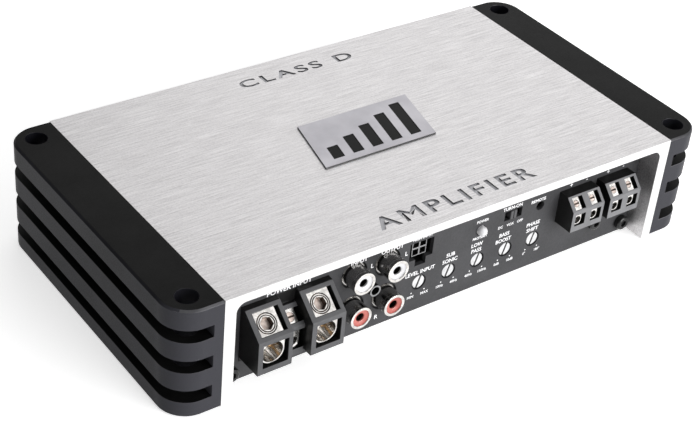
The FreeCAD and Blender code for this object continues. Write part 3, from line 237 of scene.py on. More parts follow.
looks = {
    "brushed_silver": {"dark": (0.53, 0.515, 0.52), "light": (0.89, 0.875, 0.88), "metal": 1.0,
                       "streaked": True, "fine": (70, 1700, 1700), "speckle": (1600, 2600, 2600),
                       "speckleShare": 0.4, "roughness": (0.36, 0.5), "bump": 0.00002},
    "cut_end": {"dark": (0.71, 0.71, 0.705), "light": (0.79, 0.79, 0.785), "metal": 1.0,
                "roughness": (0.5, 0.62), "bump": 0.00001},
    # painted shade: the cut letters' walls near black and their floors a darker grey than the brushed top
    "engraved_wall_painted_shade": {"dark": (0.045, 0.045, 0.05), "light": (0.09, 0.09, 0.10), "metal": 0.6,
                      "roughness": (0.4, 0.55), "bump": 0.00001},
    "engraved_floor_painted_shade": {"dark": (0.40, 0.40, 0.42), "light": (0.56, 0.56, 0.58), "metal": 1.0,
                       "roughness": (0.4, 0.55), "bump": 0.00001},
    "badge_face": {"dark": (0.44, 0.43, 0.46), "light": (0.54, 0.53, 0.56), "metal": 1.0,
                   "roughness": (0.34, 0.44), "bump": 0.00001},
    "badge_edge": {"dark": (0.02, 0.02, 0.02), "light": (0.04, 0.04, 0.045), "metal": 0.0,
                   "roughness": (0.2, 0.3)},
    "gloss_black": {"dark": (0.004, 0.004, 0.004), "light": (0.008, 0.008, 0.008),
                    "roughness": (0.14, 0.22), "specular": 0.25},
    # painted shade: the fin blocks' top, a darker copy of the sides' black finish
    "black_anodised": {"dark": (0.003, 0.003, 0.003), "light": (0.007, 0.007, 0.007),
                       "roughness": (0.40, 0.52), "bump": 0.00003, "fine": (1800, 1800, 1800),
                       "specular": 0.08},
    # painted light: the fin sides, a lighter copy of the top's black finish that turns lighter still towards
    # the front
    "anodised_side_lit": {"dark": (0.004, 0.004, 0.006), "light": (0.009, 0.009, 0.012),
                      "roughness": (0.40, 0.52), "bump": 0.00003, "fine": (1800, 1800, 1800), "specular": 0.1,
                      "frontLitTone": (0.034, 0.034, 0.040)},
    # painted highlight along the fin blocks' front corners' upper edge
    "anodised_edge_highlight": {"dark": (0.05, 0.05, 0.055), "light": (0.09, 0.09, 0.095), "metal": 0.5,
                      "roughness": (0.3, 0.4), "bump": 0.00001},
    "badge_black": {"dark": (0.003, 0.003, 0.003), "light": (0.006, 0.006, 0.006),
                    "roughness": (0.3, 0.4), "specular": 0.08},
    # painted shade: a darker copy of black plastic for the switch and jack bodies behind the panel's cut-outs
    "black_plastic_in_shade": {"dark": (0.002, 0.002, 0.002), "light": (0.005, 0.005, 0.005),
                      "roughness": (0.4, 0.5), "specular": 0.1},
    "powder_coat": {"dark": (0.026, 0.026, 0.028), "light": (0.038, 0.038, 0.041),
                    "roughness": (0.5, 0.65), "bump": 0.00004, "fine": (1500, 1500, 1500), "specular": 0.35},
    "black_screw": {"dark": (0.010, 0.010, 0.010), "light": (0.022, 0.022, 0.022), "metal": 0.3,
                    "roughness": (0.16, 0.26), "bump": 0.00001},
    "black_plastic": {"dark": (0.004, 0.004, 0.004), "light": (0.008, 0.008, 0.008),
                      "roughness": (0.30, 0.42), "bump": 0.00002, "fine": (1600, 1600, 1600),
                      "specular": 0.25},
    # painted light: lighter greys for the terminal housings' front faces; the first is also the switch
    # lever's grey
    "grey_plastic_and_front_light": {"dark": (0.045, 0.045, 0.048), "light": (0.068, 0.068, 0.072),
                       "roughness": (0.5, 0.65), "bump": 0.00003, "fine": (1600, 1600, 1600)},
    "speaker_front_light": {"dark": (0.115, 0.115, 0.121), "light": (0.155, 0.155, 0.162),
                      "roughness": (0.45, 0.6), "bump": 0.00003, "fine": (1600, 1600, 1600)},
    "nickel": {"dark": (0.58, 0.56, 0.54), "light": (0.90, 0.88, 0.85), "metal": 1.0,
               "broad": (420, 420, 420), "roughness": (0.1, 0.26), "bump": 0.000005,
               "fine": (600, 600, 600)},
    # painted shade: a darker copy of nickel for the phono shells' sides and for the contacts down in their
    # holes
    "shaded_nickel": {"dark": (0.34, 0.33, 0.32), "light": (0.50, 0.49, 0.475), "metal": 1.0,
                    "roughness": (0.12, 0.26), "bump": 0.00001, "fine": (700, 700, 700)},
    "drilled_brass": {"dark": (0.30, 0.17, 0.07), "light": (0.60, 0.39, 0.19), "metal": 1.0,
                      "broad": (160, 160, 160), "fine": (250, 250, 250), "roughness": (0.28, 0.38)},
    "screw_socket": {"dark": (0.38, 0.31, 0.28), "light": (0.62, 0.54, 0.49), "metal": 1.0,
                     "roughness": (0.3, 0.45), "bump": 0.00001, "broad": (500, 500, 500)},
    # painted shade: dark metal for the hex and slot walls and for the gap ring round the power screws' heads
    "socket_wall_shade": {"dark": (0.06, 0.045, 0.035), "light": (0.14, 0.105, 0.085), "metal": 1.0,
                    "roughness": (0.3, 0.45), "bump": 0.00001, "broad": (500, 500, 500)},
    "white_insert": {"dark": (0.54, 0.54, 0.55), "light": (0.62, 0.62, 0.63), "roughness": (0.25, 0.35),
                     "milky": 0.1},
    "red_insert": {"dark": (0.36, 0.088, 0.072), "light": (0.44, 0.122, 0.10), "roughness": (0.25, 0.35),
                   "milky": 0.05},
    "ivory_plastic": {"dark": (0.46, 0.46, 0.465), "light": (0.58, 0.58, 0.585), "roughness": (0.3, 0.42),
                      "bump": 0.00001, "broad": (300, 300, 300), "milky": 0.1},
    # painted highlight for the front rims of the jack block's boss and the input socket
    "rim_highlight": {"dark": (0.16, 0.16, 0.165), "light": (0.24, 0.24, 0.245), "roughness": (0.4, 0.5)},
    "slot_shade": {"dark": (0.12, 0.12, 0.12), "light": (0.18, 0.18, 0.18), "roughness": (0.5, 0.6)},
    "led_lens": {"dark": (0.52, 0.52, 0.53), "light": (0.66, 0.66, 0.67), "roughness": (0.15, 0.22),
                 "milky": 0.5, "broad": (700, 700, 700)},
    "legend_ink": {"dark": (0.74, 0.74, 0.75), "light": (0.82, 0.82, 0.83), "roughness": (0.45, 0.6),
                   "broad": (900, 900, 900)},
    "circuit_board": {"dark": (0.008, 0.05, 0.02), "light": (0.02, 0.11, 0.045), "roughness": (0.2, 0.35),
                      "broad": (300, 12, 300), "coat": 0.4},
    "ferrite": {"dark": (0.03, 0.03, 0.03), "light": (0.06, 0.06, 0.062), "roughness": (0.6, 0.8),
                "bump": 0.00005},
    "enamelled_copper": {"dark": (0.42, 0.14, 0.05), "light": (0.62, 0.25, 0.10), "metal": 1.0,
                         "roughness": (0.2, 0.32), "coat": 0.5},
    "capacitor_sleeve": {"dark": (0.012, 0.012, 0.022), "light": (0.022, 0.022, 0.038),
                         "roughness": (0.18, 0.28), "bump": 0.00002},
    "silicone_pad": {"dark": (0.34, 0.36, 0.35), "light": (0.44, 0.46, 0.45), "roughness": (0.6, 0.75),
                     "bump": 0.00003},
    "zinc_steel": {"dark": (0.40, 0.40, 0.42), "light": (0.56, 0.56, 0.58), "metal": 1.0,
                   "roughness": (0.28, 0.42), "bump": 0.00002, "broad": (250, 250, 250)},
}
finish = {name: grained(name, look) for name, look in looks.items()}
print("materials", len(finish))


# shapes

def copyOf(node):
    # merged copy of a CAD node, in millimetres, with its flat faces made whole again
    shape = bmesh.new()
    shape.from_mesh(cad[node].data)
    bmesh.ops.scale(shape, vec=(1 / mm, 1 / mm, 1 / mm), verts=shape.verts)
    bmesh.ops.remove_doubles(shape, verts=shape.verts, dist=0.002)
    bmesh.ops.dissolve_limit(shape, angle_limit=math.radians(0.6), verts=shape.verts, edges=shape.edges,
                             use_dissolve_boundaries=False)
    return shape


def easeEdges(shape, width, segments=2, sharpest=30.0):
    sharp = math.radians(sharpest)
    edges = [edge for edge in shape.edges if len(edge.link_faces) == 2 and edge.calc_face_angle() > sharp]
    bmesh.ops.bevel(shape, geom=edges, offset=width, offset_type="OFFSET", segments=segments, profile=0.5,
                    affect="EDGES", clamp_overlap=True, material=-1)


def softened(node, width, segments=2, sharpest=30.0):
    shape = copyOf(node)
    easeEdges(shape, width, segments, sharpest)
    return shape


def lathe(profile, steps=40):
    # a turned shape about +Z from (radius, height) points, closed where the profile meets the axis
    shape = bmesh.new()
    points = [shape.verts.new((radius, 0.0, height)) for radius, height in profile]
    edges = [shape.edges.new(pair) for pair in zip(points, points[1:])]
    bmesh.ops.spin(shape, geom=points + edges, cent=(0, 0, 0), axis=(0, 0, 1), angle=math.tau, steps=steps,
                   use_merge=True)
    bmesh.ops.remove_doubles(shape, verts=shape.verts, dist=0.0005)
    bmesh.ops.recalc_face_normals(shape, faces=shape.faces)
    return shape


def prism(sides, radius, low, high, turn=0.0):
    shape = bmesh.new()
    ring = bmesh.ops.create_circle(shape, cap_ends=True, segments=sides, radius=radius)
    bmesh.ops.rotate(shape, verts=ring["verts"], cent=(0, 0, 0), matrix=Matrix.Rotation(turn, 3, "Z"))
    bmesh.ops.translate(shape, verts=ring["verts"], vec=(0, 0, low))
    grown = bmesh.ops.extrude_face_region(shape, geom=list(shape.faces))
    top = [item for item in grown["geom"] if isinstance(item, bmesh.types.BMVert)]
    bmesh.ops.translate(shape, verts=top, vec=(0, 0, high - low))
    bmesh.ops.recalc_face_normals(shape, faces=shape.faces)
    return shape


def brick(low, high):
    shape = bmesh.new()
    size = Vector(high) - Vector(low)
    bmesh.ops.create_cube(shape, size=1.0)
    bmesh.ops.scale(shape, vec=size, verts=shape.verts)
    bmesh.ops.translate(shape, vec=(Vector(high) + Vector(low)) / 2, verts=shape.verts)
    return shape


def settle(shape, place=(0, 0, 0), turn=None):
    matrix = Matrix.Translation(Vector(place))
    if turn is not None:
        matrix = matrix @ turn
    bmesh.ops.transform(shape, matrix=matrix, verts=shape.verts)
    return shape


def joined(shapes):
    # one bmesh out of several
    whole = bmesh.new()
    for shape in shapes:
        spare = bpy.data.meshes.new("spare")
        shape.to_mesh(spare)
        whole.from_mesh(spare)
        shape.free()
        bpy.data.meshes.remove(spare)
    return whole


def looseObject(shape, materials=()):
    mesh = bpy.data.meshes.new("loose")
    shape.to_mesh(mesh)
    shape.free()
    for material in materials:
        mesh.materials.append(material)
    item = bpy.data.objects.new("loose", mesh)
    bpy.context.scene.collection.objects.link(item)
    return item


def dropObject(item):
    mesh = item.data
    bpy.data.objects.remove(item)
    bpy.data.meshes.remove(mesh)


def carved(shape, cutter, materials=()):
    base = looseObject(shape, materials)
    tool = looseObject(cutter, materials)
    carve = base.modifiers.new("carve", "BOOLEAN")
    carve.object = tool
    carve.operation = "DIFFERENCE"
    carve.solver = "EXACT"
    carve.use_self = True
    carve.material_mode = "INDEX"
    bpy.context.view_layer.update()
    cutMesh = bpy.data.meshes.new_from_object(base.evaluated_get(bpy.context.evaluated_depsgraph_get()))
    result = bmesh.new()
    result.from_mesh(cutMesh)
    bpy.data.meshes.remove(cutMesh)
    dropObject(base)
    dropObject(tool)
    return result


def paint(shape, slotIndex, wanted):
    for face in shape.faces:
        if wanted(face):
            face.material_index = slotIndex


def letters(words, height, thickness, width=None, spacing=1.0, curveSteps=3, bold=0.0):
    # lettering in the XY plane, centred, with its face at z = 0 and its body below
    data = bpy.data.curves.new("letters", "FONT")
    data.body = words
    data.extrude = 0.5
    data.offset = bold
    data.resolution_u = curveSteps
    data.space_character = spacing
    item = bpy.data.objects.new("letters", data)
    bpy.context.scene.collection.objects.link(item)
    bpy.context.view_layer.update()
    mesh = bpy.data.meshes.new_from_object(item)
    shape = bmesh.new()
    shape.from_mesh(mesh)
    bpy.data.meshes.remove(mesh)
    bpy.data.objects.remove(item)
    bpy.data.curves.remove(data)
    bmesh.ops.remove_doubles(shape, verts=shape.verts, dist=0.0001)
    low = Vector([min(vert.co[i] for vert in shape.verts) for i in range(3)])
    high = Vector([max(vert.co[i] for vert in shape.verts) for i in range(3)])
    middle = Vector(((low.x + high.x) / 2, (low.y + high.y) / 2, high.z))
    bmesh.ops.translate(shape, vec=-middle, verts=shape.verts)
    tall = height / (high.y - low.y)
    wide = width / (high.x - low.x) if width else tall
    bmesh.ops.scale(shape, vec=(wide, tall, thickness), verts=shape.verts)
    bmesh.ops.recalc_face_normals(shape, faces=shape.faces)
    return shape


def addPiece(name, shape, materials, body, replaced=(), smooth=32.0):
    bmesh.ops.scale(shape, vec=(mm, mm, mm), verts=shape.verts)
    mesh = bpy.data.meshes.new(name)
    shape.to_mesh(mesh)
    shape.free()
    for material in materials:
        mesh.materials.append(finish[material])
    mesh.shade_smooth()
    mesh.set_sharp_from_angle(angle=math.radians(smooth))
    piece = bpy.data.objects.new(name, mesh)
    bpy.context.scene.collection.objects.link(piece)
    even = piece.modifiers.new("even", "WEIGHTED_NORMAL")
    even.keep_sharp = True
    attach(piece, body)
    if replaced:
        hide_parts(*replaced)
    return piece


# heatsink shell with its cut-in lettering

shell = {
    "edge": 0.25,
    "frontWords": "AMPLIFIER",
    "frontMiddle": (2.0, -47.4),
    "frontHeight": 6.6,
    "frontWidth": 66.0,
    "rearWords": "CLASS D",
    "rearMiddle": (1.8, 46.6),
    "rearHeight": 5.0,
    "rearWidth": 49.0,
    "cutDepth": 0.4,
    "bold": 0.022,
}


def cutLetters(words, middle, height, width, top):
    shape = letters(words, height, shell["cutDepth"] + 0.3, width, 1.25, 6, shell["bold"])
    # painted shade: letter walls in slot 1, letter floors in slot 2
    paint(shape, 1, lambda face: abs(face.normal.z) < 0.5)
    paint(shape, 2, lambda face: face.normal.z < -0.5)
    return settle(shape, (middle[0], middle[1], top + 0.3))


def shellCase():
    top = corners("heatsink_shell")[1].z
    shape = softened("heatsink_shell", shell["edge"])
    cutter = joined([
        cutLetters(shell["frontWords"], shell["frontMiddle"], shell["frontHeight"], shell["frontWidth"], top),
        cutLetters(shell["rearWords"], shell["rearMiddle"], shell["rearHeight"], shell["rearWidth"], top),
    ])
    names = ["brushed_silver", "engraved_wall_painted_shade", "engraved_floor_painted_shade", "cut_end"]
    shape = carved(shape, cutter, [finish[name] for name in names])
    paint(shape, 3, lambda face: abs(face.normal.y) > 0.8 and face.material_index == 0)
    addPiece("shell_case", shape, names, caseBody, ["heatsink_shell"])


# pieces that keep the CAD shape and gain eased edges

easedPieces = {
    # CAD node: edge width, finish, record slot
    "front_panel": (0.12, "powder_coat", "painted_steel"),
    "rear_panel": (0.12, "powder_coat", "painted_steel"),
    "bottom_plate": (0.12, "powder_coat", "painted_steel"),
    "badge_inlay": (0.1, "badge_black", "badge_black"),
    "bottom_plate_screws": (0.1, "black_screw", "black_screw"),
    "switch_body": (0.1, "black_plastic_in_shade", "black_plastic"),
    "jack_body": (0.1, "black_plastic_in_shade", "black_plastic"),
    "jack_contact": (0.1, "shaded_nickel", "nickel"),
    "rca_contacts": (0.08, "shaded_nickel", "nickel"),
}


def easedAll():
    for node, (width, material, slot) in easedPieces.items():
        addPiece("eased_" + node, softened(node, width), [material], caseBody, [node])


finEdge = 0.2


def finBlocks():
    # painted light and shade: the top takes a darker copy of the black finish, the sides a lighter copy, and
    # the front corners' upper edge a painted highlight
    for side in ("left", "right"):
        node = "fin_block_" + side
        shape = softened(node, finEdge)
        paint(shape, 1, lambda face: face.normal.z < 0.95)
        # painted highlight on the bevel strip along the front corners' upper edge
        paint(shape, 2, lambda face: abs(face.normal.y) > 0.5 and 0.3 < face.normal.z < 0.95)
        names = ["black_anodised", "anodised_side_lit", "anodised_edge_highlight"]
        addPiece("fins_" + side, shape, names, caseBody, [node])


def badgePlate():
    shape = softened("top_badge", 0.12)
    paint(shape, 1, lambda face: face.normal.z < 0.5)
    addPiece("badge_plate", shape, ["badge_face", "badge_edge"], caseBody, ["top_badge"])


# screws

panScrew = {
    "headRadius": 2.75,
    "headHeight": 2.4,
    "round": 0.8,
    "headEdge": 0.15,
    "socketRadius": 1.35,
    "socketDepth": 1.2,
    "shankRadius": 1.38,
    "length": 7.0,
    "tipTaper": 0.3,
    "tipLength": 0.4,
    "edge": 0.06,
    # place of the screw under the speaker blocks
    "middleX": 70.0,
    "middleZ": 9.3,
}


def panScrewShape():
    size = panScrew
    arc = [math.radians(angle) for angle in range(0, 91, 15)]
    shoulder = [(size["headRadius"] - size["round"] * (1 - math.cos(turn)),
                 size["headHeight"] - size["round"] * (1 - math.sin(turn))) for turn in arc]
    profile = [(0, -size["length"]), (size["shankRadius"] - size["tipTaper"], -size["length"]),
               (size["shankRadius"], -size["length"] + size["tipLength"]), (size["shankRadius"], 0),
               (size["headRadius"] - size["headEdge"], 0), (size["headRadius"], size["headEdge"])]
    profile += shoulder + [(0, size["headHeight"])]
    socket = prism(6, size["socketRadius"], size["headHeight"] - size["socketDepth"], size["headHeight"] + 1)
    shape = carved(lathe(profile), socket)
    easeEdges(shape, size["edge"], 1, 50.0)
    return shape


def screwSet(name, node, places, outward):
    turn = Vector((0, 0, 1)).rotation_difference(Vector(outward)).to_matrix().to_4x4()
    shapes = [settle(panScrewShape(), place, turn) for place in places]
    addPiece(name, joined(shapes), ["black_screw"], caseBody, [node])


def panelScrews():
    low, high = corners("front_panel_screws")
    reach = panScrew["headRadius"]
    edgeX = high.x - reach
    baseY = low.y + panScrew["headHeight"]
    lowZ = low.z + reach
    middle = (panScrew["middleX"], baseY, panScrew["middleZ"])
    screwSet("front_screws", "front_panel_screws", [(-edgeX, baseY, lowZ), (edgeX, baseY, lowZ), middle],
             (0, -1, 0))
    backY = corners("rear_panel_screws")[1].y - panScrew["headHeight"]
    screwSet("rear_screws", "rear_panel_screws", [(-edgeX, backY, lowZ), (edgeX, backY, lowZ)], (0, 1, 0))


# screw terminals

terminals = {
    "housingEdge": 0.22,
    "clampEdge": 0.18,
    "speakerEdge": 0.16,
    "neckLength": 2.0,
    # the power clamps' wire bore: height, radius with a little play, bright length at its mouth
    "boreHeight": 16.2,
    "boreRadius": 3.89,
    "boreMouth": 0.6,
}


def frontLightFaces(shape, slotIndex):
    # painted light: the front and slanted faces take a lighter grey for the front lamps' light on them, the
    # sides and the neck stay black
    neckY = corners("front_panel")[0].y - terminals["neckLength"]
    paint(shape, slotIndex, lambda face: face.normal.y < -0.55 and face.calc_center_median().y < neckY)


def terminalHousings():
    shape = softened("power_terminal_housing", terminals["housingEdge"])
    frontLightFaces(shape, 1)
    addPiece("power_housing", shape, ["black_plastic", "grey_plastic_and_front_light"], caseBody,
             ["power_terminal_housing"])
    for side in ("left", "right"):
        node = "speaker_housing_" + side
        shape = softened(node, terminals["speakerEdge"])
        frontLightFaces(shape, 1)
        addPiece("speaker_block_" + side, shape, ["black_plastic", "speaker_front_light"], caseBody, [node])


def clampMetal():
    nodes = ["power_clamp_left", "power_clamp_right", "remote_clamp", "speaker_clamps"]
    for node in nodes:
        low, high = corners(node)
        shape = softened(node, terminals["clampEdge"])
        if node.startswith("power"):
            axisX = (low.x + high.x) / 2
            start = low.y + terminals["boreMouth"]
            paint(shape, 1, lambda face: insideBore(face.calc_center_median(), axisX, start))
        addPiece(node + "_metal", shape, ["nickel", "drilled_brass"], caseBody, [node])


def insideBore(point, axisX, start):
    reach = math.hypot(point.x - axisX, point.z - terminals["boreHeight"])
    return reach < terminals["boreRadius"] and point.y > start


terminalScrews = {
    # kind: thread radius, length, slant of the face in degrees, hex radius or None for a slot
    "power": {"radius": 3.47, "length": 2.9, "slant": 39.3, "hex": 2.3, "hexDepth": 2.2},
    "remote": {"radius": 1.6, "length": 6.0, "slant": 44.0, "slot": 0.6, "slotDepth": 0.8},
    "speaker": {"radius": 1.22, "length": 4.8, "slant": 46.6, "slot": 0.6, "slotDepth": 0.8},
}


screwFinish = ["nickel", "screw_socket", "socket_wall_shade"]
screwShape = {
    "rim": 0.3,
    "threadPitch": 0.6,
    "tipTaper": 0.2,
    "hexTurn": 12.0,
    "faceSink": 0.05,
    # shares of the thread radius, from the tip and the thread's root to the rings on the head
    "tip": 0.8,
    "root": 0.9,
    "gap": 0.94,
    "ring": (0.92, 0.90, 0.82, 0.80),
    "face": (0.755, 0.735),
    "shaded": 0.74,
    "edge": 0.02,
}


def terminalScrew(size):
    radius = size["radius"]
    length = size["length"]
    rim = screwShape["rim"]
    pitch = screwShape["threadPitch"]
    root = radius * screwShape["root"]
    start = -length + screwShape["tipTaper"]
    profile = [(0, -length), (radius * screwShape["tip"], -length), (root, start)]
    for k in range(int((length - 2 * rim) / pitch)):
        base = start + k * pitch
        profile += [(radius, base + pitch * 0.5), (root, base + pitch)]
    profile += [(radius, -rim - 0.1)]
    if "hex" in size:
        sink = screwShape["faceSink"]
        ring = [radius * share for share in screwShape["ring"]]
        face = [radius * share for share in screwShape["face"]]
        profile += [(radius * screwShape["gap"], -rim), (ring[0], -0.06), (ring[1], 0), (ring[2], 0),
                    (ring[3], -rim), (face[0], -rim), (face[1], -sink), (0, -sink)]
        tool = prism(6, size["hex"], -size["hexDepth"], 1.0, math.radians(screwShape["hexTurn"]))
        # painted shade on the hex socket's walls
        paint(tool, 1, lambda face: face.normal.z < -0.5)
        paint(tool, 2, lambda face: face.normal.z >= -0.5)
    else:
        profile += [(radius, -rim * 0.5), (radius - rim * 0.5, 0), (0, 0)]
        tool = brick((-radius - 1, -size["slot"] / 2, -size["slotDepth"]), (radius + 1, size["slot"] / 2, 1))
        # painted shade over the whole slot
        paint(tool, 2, lambda face: True)
    blank = lathe(profile, 48)
    if "hex" in size:
        # painted shade on the head's outer ring, the gap round it
        paint(blank, 2, lambda face: -rim - 0.11 < face.calc_center_median().z < -0.04
              and math.hypot(*face.calc_center_median().xy) > radius * screwShape["shaded"])
    else:
        paint(blank, 1, lambda face: face.normal.z > 0.5)
    shape = carved(blank, tool, [finish[name] for name in screwFinish])
    easeEdges(shape, radius * screwShape["edge"], 1, 60.0)
    return shape


def allTerminalScrews():
    screws = {"power_screw_left": "power", "power_screw_right": "power", "remote_screw": "remote"}
    screws.update({f"speaker_screw_{k}": "speaker" for k in range(1, 5)})
    for node, kind in screws.items():
        size = terminalScrews[kind]
        slant = math.radians(size["slant"])
        # the CAD screw is a plain cylinder, so its box gives the middle of its axis
        centre = middleOf(node)
        out = Vector((0, -math.sin(slant), math.cos(slant)))
        head = centre + out * size["length"] / 2
        turn = Matrix.Rotation(slant, 4, "X")
        addPiece(node + "_head", settle(terminalScrew(size), head, turn), screwFinish, node, [node])


# phono jacks

phono = {
    "radius": 4.15,
    "seatRadius": 4.5,
    "reach": 6.6,
    "wall": 0.45,
    "lipRadius": 3.15,
    "lip": 0.24,
    "roll": 0.16,
    # the shell's turned groove: its places behind the front end, its depth
    "groove": (1.6, 1.5, 1.3, 1.2),
    "grooveDepth": 0.06,
    # the insert: flat rim, then a dish down to the hole's mouth
    "insertPlay": 0.05,
    "insertRim": 0.75,
    "insertFloor": 1.0,
    "holeRadius": 1.95,
    "mouthRadius": 1.6,
    "blockEdge": 0.2,
    "bossRim": 0.12,
    "columns": (-38.4, -24.9),
    "rows": {"white": 25.5, "red": 11.5},
}


def jackBlock():
    # painted highlight along the front rim of the locating boss between the jacks
    shape = softened("rca_block", phono["blockEdge"])
    rimBack = corners("rca_block")[0].y + phono["bossRim"]
    paint(shape, 1, lambda face: face.calc_center_median().y < rimBack)
    addPiece("jack_block", shape, ["gloss_black", "rim_highlight"], caseBody, ["rca_block"])


def phonoJacks():
    low, high = corners("rca_shells")
    length = high.y - low.y
    size = phono
    outer, seat, roll = size["radius"], size["seatRadius"], size["roll"]
    inner = outer - size["wall"]
    step = length - size["reach"]
    facing = Matrix.Rotation(math.radians(90), 4, "X")
    groove = [length - place for place in size["groove"]]
    waist = outer - size["grooveDepth"]
    lip, lipEdge = size["lipRadius"], size["lipRadius"] + 0.1
    sleeve = [(inner, 0), (seat, 0), (seat, step), (outer, step), (outer, groove[0]), (waist, groove[1]),
              (waist, groove[2]), (outer, groove[3]), (outer, length - roll),
              (outer - roll * 0.3, length - roll * 0.3), (outer - roll, length), (lipEdge, length),
              (lip, length - size["lip"] / 2), (lipEdge, length - size["lip"]),
              (inner, length - size["lip"]), (inner, 0)]
    spots = [(x, high.y, z) for x in size["columns"] for z in size["rows"].values()]
    shells = joined([settle(lathe(sleeve, 56), spot, facing) for spot in spots])
    # painted shade: past the front lip the shells take the darker nickel, standing in for the dark panel they
    # mirror
    paint(shells, 1, lambda face: face.calc_center_median().y > low.y + size["lip"])
    addPiece("phono_shells", shells, ["nickel", "shaded_nickel"], caseBody, ["rca_shells"])
    for colour, z in size["rows"].items():
        node = "rca_inserts_" + colour
        low, high = corners(node)
        deep = high.y - low.y
        edge = inner - size["insertPlay"]
        rim = edge - size["insertRim"]
        hole, mouth, base = size["holeRadius"], size["mouthRadius"], size["insertFloor"]
        core = [(0, 0), (edge, 0), (edge, deep), (rim, deep), (rim - 0.1, deep - 0.15),
                (mouth + 0.25, deep - 0.3), (mouth, deep - 0.5), (mouth, deep - 0.8), (hole, deep - 1.0),
                (hole, base), (0, base)]
        inserts = [settle(lathe(core, 56), (x, high.y, z), facing) for x in size["columns"]]
        addPiece("phono_" + colour, joined(inserts), [colour + "_insert"], caseBody, [node])


# controls

trimmer = {
    "edge": 0.12,
    "names": ("level", "subsonic", "low_pass", "bass", "phase"),
    # the slot's floor lies between these depths behind the face
    "slotDepths": (0.25, 1.0),
}


def trimmerCaps():
    for name in trimmer["names"]:
        node = name + "_trimmer"
        near, far = [corners(node)[0].y + depth for depth in trimmer["slotDepths"]]
        shape = softened(node, trimmer["edge"])
        paint(shape, 1, lambda face: near < face.calc_center_median().y < far)
        addPiece(node + "_cap", shape, ["ivory_plastic", "slot_shade"], node, [node])


socket = {"edge": 0.1, "rimSink": 1.3, "rimBand": 0.15}


def socketBody():
    shape = softened("input_socket", socket["edge"])
    front = corners("front_panel")[0].y + socket["rimSink"]
    # painted highlight along the socket's front rim
    paint(shape, 1, lambda face: abs(face.calc_center_median().y - front) < socket["rimBand"])
    addPiece("socket_shell", shape, ["black_plastic", "rim_highlight"], caseBody, ["input_socket"])


led = {
    "radius": 1.8,
    "length": 8.0,
    "flange": 2.5,
    "flangeLength": 1.0,
    "panelGap": 0.1,
    "leadSpread": 1.27,
    "leadHalf": 0.25,
    "leadSeat": 0.5,
}


def ledLens():
    low, high = corners("status_led")
    middle = middleOf("status_led")
    radius, flange, length, half = led["radius"], led["flange"], led["length"], led["leadHalf"]
    tip = low.y + radius
    arc = [math.radians(angle) for angle in range(0, 91, 9)]
    dome = [(radius * math.cos(turn), radius * math.sin(turn)) for turn in arc]
    near = tip - corners("front_panel")[1].y - led["panelGap"]
    far = near - led["flangeLength"]
    profile = [(0, -length), (radius, -length), (radius, far), (flange, far), (flange, near), (radius, near)]
    lens = lathe(profile + dome[:-1] + [(0, radius)], 40)
    settle(lens, (middle.x, tip, middle.z), Matrix.Rotation(math.radians(90), 4, "X"))
    leads = joined([brick((x - half, tip + length - led["leadSeat"], middle.z - half),
                          (x + half, high.y, middle.z + half))
                    for x in (middle.x - led["leadSpread"], middle.x + led["leadSpread"])])
    paint(leads, 1, lambda face: True)
    addPiece("led_lens", joined([lens, leads]), ["led_lens", "zinc_steel"], caseBody, ["status_led"])


def switchLever():
    shape = softened("switch_lever", 0.1)
    addPiece("switch_grip", shape, ["grey_plastic_and_front_light"], "switch_lever", ["switch_lever"])


# printed legend on the connector panel, places relative to what each word names

legend = {
    "thickness": 0.02,
    "tall": 1.6,
    "small": 1.12,
    "bold": 0.018,
    "trimmers": {
        # trimmer: label lines, sideways shift of the label, lowest and highest setting
        "level": (("LEVEL INPUT",), 0.0, "MIN", "MAX"),
        "subsonic": (("SUB", "SONIC"), 0.1, "10Hz", "40Hz"),
        "low_pass": (("LOW", "PASS"), -1.0, "40Hz", "150Hz"),
        "bass": (("BASS", "BOOST"), -1.5, "0dB", "18dB"),
        "phase": (("PHASE", "SHIFT"), -0.9, "0°", "180°"),
    },
    "firstLine": 4.5,
    "secondLine": 6.95,
    "dotDrop": -3.8,
    "dotReach": 2.75,
    "dotRadius": 0.27,
    "scaleReach": 3.05,
    "scaleDrop": -5.35,
    "besideNodes": (
        # words, node they name, offset across and up, letter height
        ("POWER", "status_led", 0.2, 3.8, 1.1),
        ("PROTECT", "status_led", 0.0, -3.0, 1.1),
        ("TURN-ON", "switch_lever", -0.7, 3.1, 1.4),
        ("DC", "switch_lever", -5.1, -4.0, 1.12),
        ("VOX", "switch_lever", -0.7, -4.0, 1.12),
        ("OFF", "switch_lever", 3.7, -4.0, 1.12),
        ("REMOTE", "jack_body", -1.2, 2.7, 1.3),
    ),
    "topRow": (
        # words, node they name, offset across, height on the panel, letter height
        ("HIGH INPUT", "input_socket", 0.0, 30.6, 1.1),
        ("POWER INPUT", "power_terminal_housing", 1.4, 30.3, 1.9),
    ),
    "phonoWords": (
        # words, place on the panel, letter height
        ("INPUT", -36.8, 30.3, 1.7),
        ("OUTPUT", -23.4, 30.3, 1.7),
        ("L", -31.2, 26.4, 1.7),
        ("R", -27.3, 3.7, 1.7),
        ("L", -17.2, 26.2, 1.7),
        ("R", -40.8, 3.7, 1.7),
    ),
    # polarity signs over the speaker clamps
    "signs": {"+": 1.3, "-": 0.3},
    "signShift": 2.0,
    "signHeight": 29.8,
}


def panelWord(words, x, z, height, panelY):
    shape = letters(words, height, legend["thickness"], bold=legend["bold"])
    return settle(shape, (x, panelY - legend["thickness"], z), Matrix.Rotation(math.radians(90), 4, "X"))


